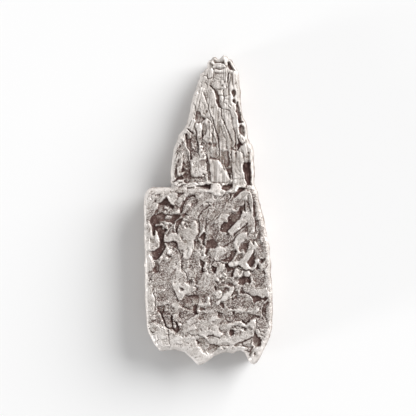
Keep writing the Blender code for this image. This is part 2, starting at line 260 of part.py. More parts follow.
# Flakes, plates, ledges and splinters that stand over the hollows
FLAKES = {
    "floor flake of the upper hollow": (-0.75,
        "-48.7 3.5, -46 4.6, -43.5 5.6, -41.8 5, -41.5 2, -44 -0.5, -46.5 -1, -48.5 1.5"),
    "star of chips": (-0.3,
        "-37 -19, -35.5 -16, -33 -12.5, -31.9 -12, -31.8 -14, -33.5 -17, -33 -19.5, -32.4 -22.3, "
        "-34 -23, -36 -21, -39.5 -22.5, -42 -25, -41 -22.3"),
    "pointed flake": (0.1,
        "-52.6 -20.2, -51.5 -21.5, -50 -25, -49 -29, -48.3 -31, -49 -36, -52 -39.5, -58 -40.5, "
        "-60 -36, -59 -28, -55.5 -26, -54 -23.5"),
    "forked ridge": (0.45,
        "-2 9, -0.5 10.4, 1.5 10.8, 3.6 10.8, 4.2 13, 3.4 15.5, 5 15.5, 5.6 12, 6.2 9.2, 7.2 7.6, "
        "5.5 6.8, 4 8, 1 8.4"),
    "grey facet": (0.1,
        "-1 -6, 1 -3.5, 3 -1.5, 6 -0.5, 9 -1, 9.5 -3, 8 -5, 5 -6, 2 -6.8, -0.5 -7"),
    "bank of the river": (0.25,
        "11 -5.5, 14 -5, 19 -3.5, 22.3 -5.6, 20.6 -7.8, 20.9 -10, 20 -12.3, 16 -12.3, 14 -14, "
        "12.3 -14.6, 12.3 -18.5, 10.5 -18, 10.5 -12"),
    "oval flake": (0.75,
        "-17 -13.5, -15.7 -10.8, -13.5 -9.9, -11.4 -11, -10.2 -14, -9.8 -19, -10.5 -24, -12 -27.5, "
        "-14.5 -29, -16.5 -26.5, -17.3 -20"),
    "bird flake": (0.45,
        "-30 -21, -27 -20, -24 -19, -22 -17.5, -20.5 -16, -17.5 -17, -17.5 -24, -18.5 -27.5, "
        "-15 -29, -14.5 -33, -14.7 -36, -14.3 -39, -15 -41.5, -16.5 -45, -18 -47, -21 -48.6, "
        "-23.5 -47.5, -24.7 -45, -25 -41, -26 -39, -29 -38.5, -30 -36, -29.5 -33, -30 -30, -29 -27, "
        "-31 -24"),
    "hook flake": (0.3,
        "-43.8 -28, -41.5 -26, -40 -24.4, -36 -23.3, -33 -24.3, -31 -26, -29.8 -29, -29.8 -31.8, "
        "-31.5 -31.6, -35 -29.6, -38 -30, -42 -31"),
    "long leaf": (0.25,
        "-38.5 -42, -36 -41, -33 -42, -29 -43, -28.6 -47, -27.9 -52, -27.7 -58, -26.7 -61, -25 -62, "
        "-23 -64, -21.7 -66.5, -21.2 -70, -20 -74, -18 -75.5, -17 -80, -20 -82, -22 -83.4, -24 -86, "
        "-26.5 -88.5, -28.6 -89.3, -30 -87.5, -31.7 -84, -33.7 -80, -36 -72, -38 -62, -40.5 -53"),
    "outer leaf": (0.1,
        "-40 -46, -42 -52, -46 -52, -48 -57, -48.5 -62, -53 -64, -57.5 -68, -57 -76, -52 -84, "
        "-49 -92, -40 -91, -34 -94, -31.5 -90, -33 -84, -36 -76, -38.5 -62"),
    "leaf under the shelf": (0.2,
        "-37 -94, -33 -92, -29.5 -91, -29 -94.5, -26.3 -97, -23 -99, -17 -99.8, -15.5 -101, "
        "-19 -102.3, -26 -102.5, -31 -103, -31.5 -108, -34 -110, -34 -105, -37 -102"),
    "upright flake": (0.6,
        "-4.6 -37.5, -3 -36.8, -1.8 -38, -2 -42, -2.5 -46, -4.5 -49.3, -7.2 -48.3, -6.6 -46, "
        "-4 -44.5, -4.6 -41.5, -7 -41"),
    "middle flake": (0.25,
        "2 -38.5, 6 -38.7, 9 -37.7, 11.5 -35.8, 13.5 -37.5, 18 -37, 22 -35, 24.5 -34.4, 26 -36, "
        "25.3 -39.6, 22.5 -41.5, 23 -45, 21 -47, 16 -47, 12 -47, 11 -49.5, 5 -50, 3.5 -47, 3.5 -44, "
        "1.5 -42"),
    "rod": (0.8,
        "20.4 -21, 22 -19, 24.5 -17, 27 -14.5, 30 -11.5, 33 -9.2, 36.5 -8.5, 39.5 -9.5, 39 -12, "
        "35.5 -15.5, 33 -18, 30 -20, 27 -22.6, 25 -25.2, 23 -25"),
    "plateau behind the rod": (0.35,
        "34 -3, 35.5 -1.2, 37 -1.8, 38.3 -1.5, 40 -2, 42.5 -1.5, 44.5 -2.5, 46 -8, 46.8 -13, "
        "46.9 -20.5, 46 -22, 41 -22.5, 40.3 -16, 40 -10, 37 -8.5, 33.5 -8.8, 32.8 -6"),
    "corner plate": (0.45,
        "29.3 12.9, 31 15.5, 33 17, 35.5 18.6, 36.5 20.2, 38 20.7, 40 19.6, 41.5 17.5, 40.8 14.5, "
        "39 12, 35 10.3, 33 9.3, 31 10.8"),
    "corner facet": (0.05,
        "43 20.5, 45.5 22.5, 48.5 21.5, 50 18, 49.8 16.6, 46 15.3, 44.3 16.5"),
    "antler, upper limb": (0.6,
        "29 -26, 32 -24, 36 -22.3, 39.5 -21.3, 40.2 -25, 39 -29, 36 -31.3, 33 -33.3, 30.8 -36, "
        "30.4 -39, 31 -41, 34 -42.3, 32 -43.4, 29.6 -44.5, 28.6 -47, 27 -49.5, 25.3 -50.3, "
        "26.8 -46.5, 28.9 -43, 29.2 -40, 27 -37, 26 -32, 27.5 -29"),
    "antler, lower limb": (0.85,
        "20.8 -53.2, 24 -52, 29 -51, 33 -50.2, 35 -49.5, 38 -52, 39.6 -53.2, 42 -55.7, 44 -57.6, "
        "46.5 -56.8, 48.9 -57, 47.5 -59, 44.5 -60.2, 41.5 -58.7, 38 -58.6, 36 -58.3, 33.5 -56, "
        "30.5 -54.7, 27 -56.2, 22.5 -56.7, 21 -55.2"),
    "antler, diagonal limb": (0.9,
        "33 -50, 36.6 -46.5, 38 -43, 40.5 -40.4, 43 -39.3, 45.7 -40, 45.3 -43, 43.6 -46, 41.2 -49, "
        "39.6 -51.5, 38.5 -54, 35 -52"),
    "antler, star": (0.75,
        "41.2 -39.5, 41.3 -35, 42 -32.3, 43.5 -30.9, 45 -33, 46.9 -35.2, 47 -31.6, 48.6 -30.3, "
        "49.6 -33, 51.2 -37, 49.5 -39, 46 -40, 43 -40.2"),
    "flake under the antler": (0.6,
        "27 -60, 28.5 -58.6, 31 -59.6, 33 -61, 34.6 -60.4, 35.6 -62, 34.2 -64.5, 33.2 -67.7, "
        "30 -66.2, 27 -66.7, 26.2 -64"),
    "oval knob": (0.7,
        "37.4 -61.2, 40 -60, 42 -61, 43.1 -63.5, 41.7 -66.2, 38.5 -66.2, 36.3 -65, 36 -63"),
    "flake right of the red pit": (0.55,
        "10 -52.5, 12.5 -54.2, 16 -53, 17.2 -56, 16 -59, 13 -60.5, 10.7 -61.2, 9.6 -63.5, 8.3 -61, "
        "9.2 -58, 11 -56"),
    "smooth grey flake": (0.15,
        "-5 -62, 2 -63, 8 -64, 9 -70, 7 -75, 6 -84, 1 -85, -2 -80, -9 -79, -8 -70"),
    "nodule over the ridge": (0.35,
        "8.8 -81, 11 -79.6, 13.5 -79.8, 15 -82, 14.4 -85.5, 11.5 -88.3, 9 -87.6, 8 -84"),
    "white Y": (0.6,
        "0.6 -85.3, 2 -88, 2.3 -92, 2 -94.6, -2 -94.8, -6 -95.3, -9.3 -94.6, -9.6 -92.8, -5 -93.4, "
        "-1.6 -92, -0.2 -89"),
    "diagonal ridge": (0.8,
        "8.3 -91.3, 10 -89.8, 13 -88.3, 15.5 -85.5, 16.5 -83.3, 20 -81.3, 21.8 -79, 22 -76.3, "
        "25.6 -75.6, 25.8 -79, 24.5 -82, 22.5 -85, 24 -87, 22 -89, 18 -90, 14.5 -90.5, 11.5 -93, "
        "9.5 -94.5"),
    "big pale flake": (0.45,
        "-26 -121.5, -25 -118, -25.3 -114.8, -24 -112.8, -20.5 -109.3, -18 -107.3, -14 -105.5, "
        "-10 -104.2, -9 -108, -7.5 -110.3, -5 -109.3, -0.5 -109, 5 -106, 9.5 -103, 9.7 -107, "
        "16 -107.3, 12 -112, 11 -118, 12 -120, 15.5 -121, 15 -125, 12 -126, 9 -125.3, 5 -124.4, "
        "2 -124, -1.5 -125, -3.5 -127, -6 -127, -7.4 -125, -9 -124, -13 -124, -17 -123.4, -23 -124"),
    "long pale ridge": (0.75,
        "12 -118.7, 16 -118.7, 21 -116.5, 26 -114.3, 30 -114.6, 34 -115.3, 38 -116, 42 -114.6, "
        "45 -117, 47 -118, 48.2 -112, 47.2 -109.5, 43 -109.6, 41.3 -112, 38 -113.8, 34 -111.7, "
        "28 -111, 22 -111.6, 19 -113, 15 -112.6, 12 -114.5"),
    "pale ledge over the band": (0.35,
        "19 -101, 21 -99, 25 -98, 30 -98.5, 35 -99.5, 42 -99, 44.5 -96.5, 45 -98, 43.5 -101, "
        "38 -101, 30 -100.6, 26 -99.7"),
    "right ledge": (0.5,
        "43 -79.5, 46 -78.4, 52 -78.9, 58 -77.5, 62 -78, 62.5 -86, 60.8 -87, 58.5 -85.3, 56 -87, "
        "53 -85, 50 -83.8, 46 -84.7, 43.3 -82.3"),
    "slab of the lower right": (0.15,
        "15 -124, 20 -126, 28 -125, 36 -122, 45 -119, 47 -121, 45.4 -125, 40 -127.5, 34 -130.5, "
        "28 -134, 25.5 -137, 20 -140, 12 -140, 11 -134, 0 -131, 1 -127, 10 -128"),
    "bottom lobe": (0.35,
        "-38 -138, -30 -128, -22 -126, -13.5 -126, -12.5 -130, -10 -133.5, -8 -136, -5.5 -141, "
        "0 -144, 5 -143.5, 2 -147, -4 -151, -10 -151.5, -15 -148, -20 -142.5, -28 -139"),
    "lower left plateau": (0.35,
        "-60 -112, -55 -112, -50 -115, -43 -119.5, -40.5 -118.5, -37 -119.5, -34 -122, -30 -124.5, "
        "-27 -125, -24 -127, -30 -130, -38 -138, -46 -139, -51 -135, -56 -128, -59.5 -119"),
    "right foot": (0.4,
        "47 -136.5, 54 -136.5, 57 -131, 57.5 -124, 60.5 -118, 62.5 -121, 61 -128, 56 -138, 51 -147, "
        "46 -151.5, 43 -148, 43.5 -143, 46.5 -140"),
    "strip right of the plate": (0.5,
        "41 18.4, 44.5 15.4, 45.3 10, 45.6 3, 46.2 -4, 46.8 -12, 46.6 -20, 44.6 -20, 44.2 -10, "
        "43.4 -2, 43.2 4, 42.6 10"),
    "plate in the channel": (-0.35,
        "-45 -101.5, -43 -100, -41 -101.5, -39.5 -105, -38 -108, -37.3 -112, -36 -116, -37.5 -117.3, "
        "-40 -116.5, -42.3 -112.5, -43.5 -108, -45.5 -104"),
    "field under the leaf": (-0.3,
        "-43 -95.5, -40 -94.5, -36.5 -94, -34 -97, -33.5 -102, -34.5 -105, -37 -105.5, -40 -106.5, "
        "-42.5 -104, -42 -101, -43 -98"),
    "bright wedge": (0.5,
        "-31.5 -79, -29 -78, -26.5 -82, -23.5 -81, -20 -79.5, -18.5 -81, -22 -83, -24 -85.5, "
        "-27.5 -89, -29.5 -86"),
    "outer wall": (0.3,
        "44.7 26, 46.6 26, 46.6 47, 45.2 47, 44.9 38"),
    "crown ledge": (0.55,
        "3.4 143.4, 6.4 145.6, 8 147.3, 12 147.1, 16 146.6, 18.4 144.4, 17 143.4, 12 142.9, 8 143.2, "
        "5.4 142.7"),
    "pebble": (0.65,
        "-0.8 137.4, 0.4 141.6, 2.4 143, 3.4 141.6, 4.8 140, 5 137, 4.4 133.2, 2 132.6, -0.2 132.2, "
        "-0.8 134.6"),
    "upper band": (0.35,
        "6 140.8, 12 140.6, 18 141.4, 21 143.4, 23 140.4, 28 139.4, 30 136, 30.6 128, 26 127, "
        "24.4 131, 24.4 136.6, 22.6 139, 20.6 138, 19.4 137, 14 137.8, 6.4 137.6"),
    "square plate": (0.1,
        "6.4 137, 14 137.4, 18.4 137, 19.2 131, 18.6 125, 16.6 121.6, 10 121.8, 7 123, 6 126, 5.6 131"),
    "left crown flake": (0.2,
        "-8 133.4, -5 134.4, -1.6 134.4, -1.4 131.4, -3.4 129.6, -7 129"),
    "right strip": (0.3,
        "16.6 113.6, 24 114.6, 25.4 112, 24.8 108.6, 27 105.6, 28.6 102, 28.6 98.6, 30 94.4, 30 88, "
        "31.6 86.4, 31.2 80, 33.4 76.4, 31.8 75, 29.4 75.6, 29 66, 28.6 61, 27.6 66, 27 74, 26.4 82, "
        "24.8 86, 24.4 94, 22.6 98.8, 19 100.8, 16 101.2, 15 103.6, 16.4 107"),
    "middle splinter": (0.3,
        "14.8 100.8, 18.6 100, 22 98.2, 24 95, 24 86, 26 82, 27 74, 27.4 67, 26 62.4, 24.8 68, "
        "22.8 74.4, 20.6 80, 18.6 84.6, 16.8 89, 15.4 93.6, 14.6 97"),
    "broad splinter": (0.15,
        "2 96, 3 102, 1.4 110, 2 118, 5 120.6, 7 116, 8 109, 9.4 104, 12.8 101, 14 96.4, 14 91.8, "
        "16 88, 18.4 82.4, 17.4 77, 15.6 74, 12 70, 10.2 72.6, 8.4 78.6, 8.2 82.6, 6.4 88, 4.2 92.6"),
    "splinter root": (0.05,
        "11.8 67, 14 70, 16 72, 17.6 69, 18.4 64, 17.6 61.4, 13 60.4, 11.8 62"),
    "right root": (0.1,
        "19.8 72, 21.6 76, 23.6 71.4, 24.2 67, 24 62, 21 60.6, 19.8 64"),
    "fan of splinters": (0.2,
        "-15.4 110, -12 120, -8 123.6, -3.6 122, -4.8 117.6, -2.4 111.6, -0.2 106, 1 100, 3 95, "
        "2 91.4, -3 92, -6.4 95, -7 98.6, -11 100, -13 103, -15 107"),
    "block": (0.45,
        "-6.6 87.6, -4 88.8, -1.4 90.2, 2 90, 3.2 88, 3.6 85, 3.4 78, 3.6 72, 2.6 68, 0.6 66, -2 68, "
        "-4.8 71.6, -3.6 75.2, -1.4 75.6, -0.4 80, -1.4 84.4, -4 86.4"),
    "bone post": (0.75,
        "-12.8 87, -7.4 87.2, -6.4 84, -6 81.4, -7 79.2, -6.6 76, -7.2 74.4, -10.4 74.2, -10.4 78, "
        "-11.6 81.4, -13 84.6"),
    "left chip": (0.3,
        "-20 81.6, -18.4 86, -16.6 90.4, -14.6 91, -13.2 88.6, -13.8 85, -13 81, -12 78, -13.6 77, "
        "-16 79.4"),
    "left lobe": (0.3,
        "-26.4 74.4, -23.6 70.4, -22.4 66, -21.6 62.6, -19.6 60, -18 57.6, -17.8 51, -19 47, "
        "-19.8 43, -23 38.4, -25.6 35.4, -29.6 35, -30.6 40, -31.2 46, -30.6 50, -33 50, -33.6 55.6, "
        "-31 61.6, -32.4 64.6, -29.6 70"),
    "dim face of the lobe": (-0.35,
        "-26 54, -24 58, -20.6 57.4, -18.8 54, -19 49, -20 43.4, -23 40, -27.6 41, -26 46, -25 50"),
    "rough mass": (0.35,
        "-17 48, -14 52.6, -9.6 54.6, -8.6 59.6, -4.4 60.2, -3.6 55, -1.8 51, -1.8 46, -0.8 41.6, "
        "-0.8 37, -2.4 35.6, -4 37.4, -6 34, -9 33, -14 33.6, -16 36, -16.8 42"),
    "white tongue": (0.6,
        "-9 56, -8.8 60, -7.6 61.6, -4.6 60.4, -4 56.4, -5.6 53, -8 52.6"),
    "pale plate": (0.6,
        "2.2 50, 9 50.4, 12 47, 15.2 43, 18.6 38, 21 32.6, 22.4 30, 20.6 28.2, 4.4 28, 4 35, 2.6 42"),
    "plank": (0.6,
        "24.8 59.4, 28 60, 31 59, 34.4 57, 36 52, 36.4 47, 35 42.6, 35.2 38.6, 36.8 35.6, 37 31, "
        "33 30.8, 26 31.4, 24.8 36, 24.6 44"),
    "speckled patch": (0.35,
        "36.6 64.6, 40 68.6, 41 66.4, 44.4 62, 45.6 54, 46 49, 42 49.2, 38 49, 36.8 51.6, 36.6 57, "
        "34.4 60, 33 62.4"),
    "upper corner block": (0.45,
        "31.6 73.6, 34 76, 36.4 74, 38 72.4, 40.4 74.4, 40.8 71, 39.4 70.4, 36.6 67.4, 34.6 67, 33 70"),
    "lamella one": (0.4,
        "-36.4 26.4, -33 28.8, -29.6 30.4, -25 29.8, -24.4 27.4, -28 27.6, -31 25.8, -33 24.4"),
    "lamella two": (0.45,
        "-32.6 24.6, -30 26, -25.6 26.9, -20 26.4, -14 27.4, -10 25.4, -8.4 24.4, -13 23.6, "
        "-16 22.6, -20 22.4, -22.4 23.8, -26 25, -30 24"),
    "lamella three": (0.55,
        "-10 26.4, -7 28, -1 28.2, 3.6 27.2, 3.4 26, 0 25.9, -5 25.6, -8 25"),
    "lamella four": (0.4,
        "-36.8 25.6, -33 23.6, -29 22.4, -24 22.6, -20.4 21, -16 20.6, -12 21.6, -6 21, 0 20.6, "
        "3 21.2, 4 18, -37 18.6"),
    "bead A": (0.75,
        "3.4 20, 4 24.6, 6.4 26.9, 10 27.2, 13 25, 14.4 21, 16.8 19, 16.4 16, 13.6 13.9, 9.4 13.8, "
        "6 15.2, 4 17"),
    "bead B": (0.75,
        "24.6 30, 28 31.2, 34 31.2, 37.4 30, 38.8 26.6, 38.2 23.6, 36 22.6, 33 22.8, 30.4 21.4, "
        "28 18.8, 25 17.4, 21 17.6, 18.6 18.6, 21.4 20, 24.4 21, 25.6 24.6, 25 27.6"),
}

# Grooves: a width in grid steps, a depth in mm and a line
GROOVES = {
    "diagonal groove": (2.4, -1.0,
        "1.8 4.8, -1 3.2, -3.5 1.2, -6 -1, -7.6 -3.4, -9 -6, -9.7 -8.6"),
    "left of the side flake": (2.0, -0.8,
        "-9.4 -10.6, -8.3 -13, -8.5 -16.5, -8.4 -20, -9.6 -24"),
    "right of the side flake": (1.6, -0.7,
        "-1.4 -9, -1.4 -13, -2.6 -17, -2.6 -21"),
    "leaf line, lower": (1.4, -0.6,
        "-24 -61, -22.5 -63, -22 -65.5, -21 -67.2, -21 -70, -20.3 -72.3"),
    "left rim line": (1.4, -0.75,
        "-54.8 -83, -53.5 -86, -52.6 -89, -53.8 -91, -52.8 -94, -53.5 -98.5"),
    "arc of the bird hollow": (2.6, -0.5,
        "-13.8 -28.5, -13.6 -33, -14 -37, -12.5 -39.3, -11.5 -41.5, -10 -43"),
    "over the arch": (1.6, -0.95,
        "3.4 -54.4, 4.4 -52.4, 6.5 -51.2, 9 -50.8, 12.5 -51.2, 14.6 -52.6, 16 -52.4"),
    "under the rod": (2.0, -0.95,
        "39.5 -12.8, 38.3 -15, 34.5 -18.2, 31.5 -21, 28.5 -23.6, 26.6 -25.4"),
    "down from the rod": (2.2, -0.8,
        "30.5 -24.7, 28 -26.4, 26.4 -29.4, 23 -32, 20 -34.8, 16 -37.2"),
    "under the big flake": (1.8, -0.9,
        "-19 -123.6, -13 -124.3, -8.3 -123.6, -7.2 -126, -5 -127.7, -2.5 -127.7, -1 -129.5, "
        "-0.2 -131.2"),
    "bottom of the band": (1.8, -0.8,
        "26.8 -109.4, 30 -109.8, 34 -109.6, 36 -111.8, 39 -112.8, 41.2 -110.6"),
    "wedge line": (1.4, -0.7,
        "27 -135.5, 31 -132.6, 37 -129.8, 45 -126.2"),
    "shade under the hook": (2.6, -0.55,
        "-43 -32.2, -39 -31.8, -35.5 -31.2, -33 -32, -31.2 -33.8"),
    "edge of the star": (1.4, -0.7,
        "-43.6 -26.6, -40.6 -23.4, -38.2 -19.6, -36.2 -16.6"),
    "edge of the rim slot": (1.4, -0.7,
        "57.6 -93, 55.6 -97, 54.8 -101, 55.4 -104.4"),
    "left of the channel plate": (1.6, -0.8,
        "-48 -101, -46.6 -105, -44.6 -108.6, -43.4 -112.4, -41.4 -115.8, -38.8 -118"),
    "right of the channel plate": (1.3, -0.9,
        "-36.4 -104.4, -37.2 -107.6, -36.6 -111, -35.4 -114.6, -33.6 -119.4"),
    "lower edge of the shelf": (1.8, -0.6,
        "-11 -103.4, -14 -104.6, -17.6 -106.6, -21 -109"),
    "right of the plate": (1.3, -0.95,
        "21.7 138, 21.2 136, 20.4 134, 19.8 130, 19.4 126, 18.6 122.6"),
    "G one": (1.3, -0.6,
        "-4.6 118.4, -3.6 115, -2.4 112, -1.4 109, -0.4 106, 0.6 103, 1.2 99.6, 2 97, 3.4 94.6, "
        "4.8 92, 5.4 89.4"),
    "G one, lower": (1.5, -0.9,
        "5.4 89.4, 6.2 86.4, 7.2 83.6, 7.6 81, 8.4 77.4, 9.4 74, 10.4 70.6, 11.2 68, 11.4 64, 11.6 61"),
    "G three": (1.6, -0.85,
        "13.6 101.6, 14.2 98.4, 14.6 95, 14.4 91.6, 16 90, 17 87"),
    "column one": (1.4, -0.6,
        "15.5 120, 15.6 117, 16 113, 16.4 110"),
    "G four": (1.3, -0.55,
        "26.2 82, 27 79, 27.5 75.6, 27.6 72, 28 69, 28 65"),
    "G five": (1.7, -0.5,
        "15.8 74.6, 17.4 73.4, 18.6 70, 18.4 66.4, 18.6 64, 19.6 61.6"),
    "fine line two": (1.5, -0.6,
        "4.6 77.6, 5.4 75, 5.4 72, 5 70, 4.4 68, 5.6 66"),
    "post, left": (1.3, -0.7,
        "-13.6 86.6, -14 84.6, -13 82, -12 79, -11.4 76, -10.8 73, -11.4 70"),
    "mass edge": (1.5, -0.9,
        "-2 50, -1 47, -0.2 43.4, -0.2 40, 0 36.6, 0.6 33, 1.6 29.6"),
    "groove right of the mass": (2.4, -0.7,
        "-0.8 55, 0 51.6, 0.8 46, 1.4 40, 2.4 34, 3 29"),
}

# Ridges: a width in grid steps, a height in mm and a line
RIDGES = {
    "upper rim of the hollow": (2.2, 0.3,
        "-50.5 4, -45.5 9.5, -41.3 14.3, -38 11, -37 8, -33.6 4.5, -33 0"),
    "left lip of the hollow": (2.0, 0.25,
        "-61 -11, -57.5 -5, -53.5 -0.5, -51 3.5"),
    "left ridge line": (1.3, 0.5,
        "41.9 8.6, 42.6 5, 43.7 1, 44.6 -2"),
    "right ridge line": (1.6, 0.65,
        "41 17.8, 43.2 16.6, 44.6 13, 45 8, 45 3, 44.6 -2"),
    "left edge of the leaf": (1.2, 0.3,
        "-30.3 -58, -34 -66, -35.6 -74, -33.2 -80"),
    "dotted ridge": (1.4, 0.35,
        "21 -96.6, 26 -95, 29.5 -92.6, 34 -91"),
    "lobe edge": (1.6, 0.15,
        "-13 -151, -8 -151.5, -3 -149.5, 2 -146"),
    "right lip": (1.4, 0.35,
        "19.8 137.4, 19 133, 18.6 128, 18.4 124"),
    "right wall": (1.6, 0.3,
        "30 88.5, 29.6 95, 28 101, 27.6 105"),
    "right wall, low": (1.6, 0.3,
        "30.8 75.6, 30 81, 31 86"),
    "splinter edge three": (1.1, 0.35,
        "14 86, 15.4 88, 17 83, 18.4 80, 20 75, 21.6 71"),
    "bright sliver": (1.1, 0.6,
        "6.4 84, 6.6 80, 7 75, 8.2 71, 9.2 67, 10 63, 10.8 58"),
    "block edge": (1.1, 0.3,
        "2.4 89, 2.9 85, 2.9 80, 3 74"),
    "lobe ridge": (2.0, 0.45,
        "-27.4 72.6, -24.4 69.6, -23 65.4, -22.2 62, -19.6 59.6, -18.2 57.4, -17.8 51"),
    "outer left wall": (1.3, 0.3,
        "-36 50, -36.5 42, -36.6 34"),
    "mass ridge four": (1.2, 0.3,
        "-16 46, -15.4 40, -15.6 35"),
    "plank edge": (1.2, 0.3,
        "35 48, 34 44, 34.6 40, 36.4 35.4, 36.6 31.6"),
    "plank middle": (1.1, 0.25,
        "30 56, 30.6 48, 30.4 44"),
    "lamella crest four": (1.4, 0.35,
        "-9 27.2, -4 27.8, 3.4 26.8"),
    "lamella crest five": (1.3, 0.3,
        "-22 22.8, -16 24, -10 23"),
}

def points(text):
    """'x y, x y' as an array of points."""
    return np.array([[float(value) for value in point.split()] for point in text.split(",")])


def smooth(share):
    share = np.clip(share, 0, 1)
    return share * share * (3 - 2 * share)


TABLE = np.random.default_rng(SEED).random((64, 64, 64))


def lumps(place, size, layer):
    """Smooth noise from -1 to 1 over points in space, with lumps of this size."""
    scaled = place / size + 17.3 * layer + 1000
    cell = np.floor(scaled).astype(int)
    part = smooth(scaled - cell)
    total = np.zeros(len(place))
    for corner in np.ndindex(2, 2, 2):
        x, y, z = ((cell + corner) % 64).T
        total += TABLE[x, y, z] * np.where(corner, part, 1 - part).prod(axis=1)
    return 2 * total - 1


def distance_to(line, place, closed):
    """Distance of each place from a line of points."""
    nearest = np.full(len(place), np.inf)
    for start, end in zip(line, np.roll(line, -1, axis=0)) if closed else zip(line[:-1], line[1:]):
        along = end - start
        share = np.clip((place - start) @ along / (along @ along), 0, 1)
        nearest = np.minimum(nearest, np.hypot(*(place - start - share[:, None] * along).T))
    return nearest


def depth_inside(line, place):
    """Distance inside a closed outline, negative outside it."""
    odd = np.zeros(len(place), bool)
    for start, end in zip(line, np.roll(line, -1, axis=0)):
        if start[1] == end[1]:
            continue
        between = (start[1] > place[:, 1]) != (end[1] > place[:, 1])
        crossing = start[0] + (end[0] - start[0]) * (place[:, 1] - start[1]) / (end[1] - start[1])
        odd ^= between & (place[:, 0] < crossing)
    distance = distance_to(line, place, closed=True)
    return np.where(odd, distance, -distance)


def close_to(line, place, reach):
    low = line.min(axis=0) - reach
    high = line.max(axis=0) + reach
    return np.flatnonzero(((place > low) & (place < high)).all(axis=1))


def set_level(relief, place, level, text, uneven):
    """Brings the relief inside an outline to about this level, with a broken edge."""
    line = points(text)
    chosen = close_to(line, place, BROKEN_EDGE)
    cover = smooth(depth_inside(line, place[chosen]) / (2 * BROKEN_EDGE) + 0.5)
    relief[chosen] += (level * uneven[chosen] - relief[chosen]) * cover


def add_line(relief, place, width, change, text):
    """Cuts a groove, or raises a ridge, along a line."""
    line = points(text)
    chosen = close_to(line, place, width)
    away = distance_to(line, place[chosen], closed=False) / (width / 2)
    relief[chosen] += change * np.clip(1 - away, 0, 1)


def face_relief(place):
    """Height of the face above its plain surface, in mm, over points in grid steps."""
    flat = np.column_stack([place, np.zeros(len(place))])
    relief = 0.18 * lumps(flat, 7, 1)
    uneven = 1 + 0.3 * lumps(flat, 5, 2)
    for level, text in (HOLLOWS | FLAKES).values():
        set_level(relief, place, level, text, uneven)
    for width, change, text in (GROOVES | RIDGES).values():
        add_line(relief, place, width, change, text)
    return RELIEF_SHARE * (relief + 0.12 * lumps(flat, 3.5, 3))


def inward(place):
    """Directions straight in from the nearest part of the outline."""
    line = points(OUTLINE)
    reach = 1.0
    across = depth_inside(line, place + (reach, 0)) - depth_inside(line, place - (reach, 0))
    along = depth_inside(line, place + (0, reach)) - depth_inside(line, place - (0, reach))
    slope = np.column_stack([across, along])
    return slope / (np.hypot(across, along)[:, None] + 0.3)


def rounded_blank(collection):
    """The outline filled, thickened and rounded along its edges, as an even mesh."""
    curve = bpy.data.curves.new("Outline", "CURVE")
    curve.dimensions = "2D"
    curve.fill_mode = "BOTH"
    curve.extrude = SLAB_THICKNESS / 2 - EDGE_RADIUS
    curve.bevel_depth = EDGE_RADIUS
    curve.bevel_resolution = 3
    curve.offset = DENT_DEPTH - EDGE_RADIUS
    outline = points(OUTLINE) * GRID
    spline = curve.splines.new("POLY")
    spline.use_cyclic_u = True
    spline.points.add(len(outline) - 1)
    for point, (x, y) in zip(spline.points, outline):
        point.co = (x, y, SLAB_THICKNESS / 2, 1)
    blank = bpy.data.objects.new("Outline", curve)
    collection.objects.link(blank)
    shell = solid_copy(blank)
    bpy.data.objects.remove(blank)
    body = bpy.data.objects.new("meteorite", shell)
    collection.objects.link(body)
    weld = body.modifiers.new("Close the caps", "WELD")
    weld.merge_threshold = 0.00001
    even = body.modifiers.new("Even grain", "REMESH")
    even.mode = "VOXEL"
    even.voxel_size = GRAIN
    return body


def solid_copy(thing):
    """The object's shape, modifiers included, as a plain mesh."""
    bpy.context.view_layer.update()
    return bpy.data.meshes.new_from_object(thing.evaluated_get(bpy.context.evaluated_depsgraph_get()))


def bake_modifiers(body):
    body.data = solid_copy(body)
    body.modifiers.clear()


def vertex_values(mesh, name, collection):
    values = np.empty(len(collection) * 3)
    collection.foreach_get(name, values)
    return values.reshape(-1, 3)


def work_the_surface(body):
    """Gives the blank its taper, the broken face, the dented sides and the hollows of the back."""
    mesh = body.data
    place = vertex_values(mesh, "co", mesh.vertices)
    normal = vertex_values(mesh, "vector", mesh.vertex_normals)
    steps = place / GRID
    flat = steps[:, :2]
    relief = face_relief(flat)
    inside = depth_inside(points(OUTLINE), flat)

    root = smooth((flat[:, 1] - SEAM[0]) / (SEAM[1] - SEAM[0]))
    along_spur = np.clip((flat[:, 1] - SEAM[1]) / (TIP_HEIGHT - SEAM[1]), 0, 1)
    spur = SPUR_THICKNESS_AT_ROOT + (SPUR_THICKNESS_AT_TIP - SPUR_THICKNESS_AT_ROOT) * along_spur
    thickness = SLAB_THICKNESS + (spur - SLAB_THICKNESS) * root
    place[:, 2] *= thickness / SLAB_THICKNESS

    facing_up = smooth((normal[:, 2] - 0.25) / 0.6)
    place[:, 2] += relief * MILLIMETRE * facing_up * smooth(inside / RIM_WIDTH + 0.25)

    centre, half = np.array(BACK_LAND)
    off_land = smooth(np.abs((flat - centre) / half).max(axis=1) * 4 - 4)
    hollow = smooth(lumps(steps, 16, 5) * 1.6 + 0.3) + 0.3 * lumps(steps, 5, 6) ** 2
    facing_down = smooth((-normal[:, 2] - 0.6) / 0.3)
    place[:, 2] += BACK_HOLLOW_DEPTH * hollow * off_land * facing_down

    height = np.clip(place[:, 2] / thickness, 0, 1)
    undercut = UNDERCUT * (1 - height) ** 1.5 + DENT_DEPTH * (1 + lumps(steps * (1, 1, 1.7), 9, 7))
    undercut += 0.5 * DENT_DEPTH * (1 + lumps(steps * (1, 1, 2), 4, 8))
    undercut *= smooth(1 - inside / REACH_OF_UNDERCUT)
    place[:, :2] += inward(flat) * undercut[:, None]

    mesh.vertices.foreach_set("co", place.ravel())

    oxide = (relief < OXIDE_DEPTH) & (facing_up > 0.5)
    for face in mesh.polygons:
        face.material_index = int(oxide[list(face.vertices)].all())
    mesh.update()


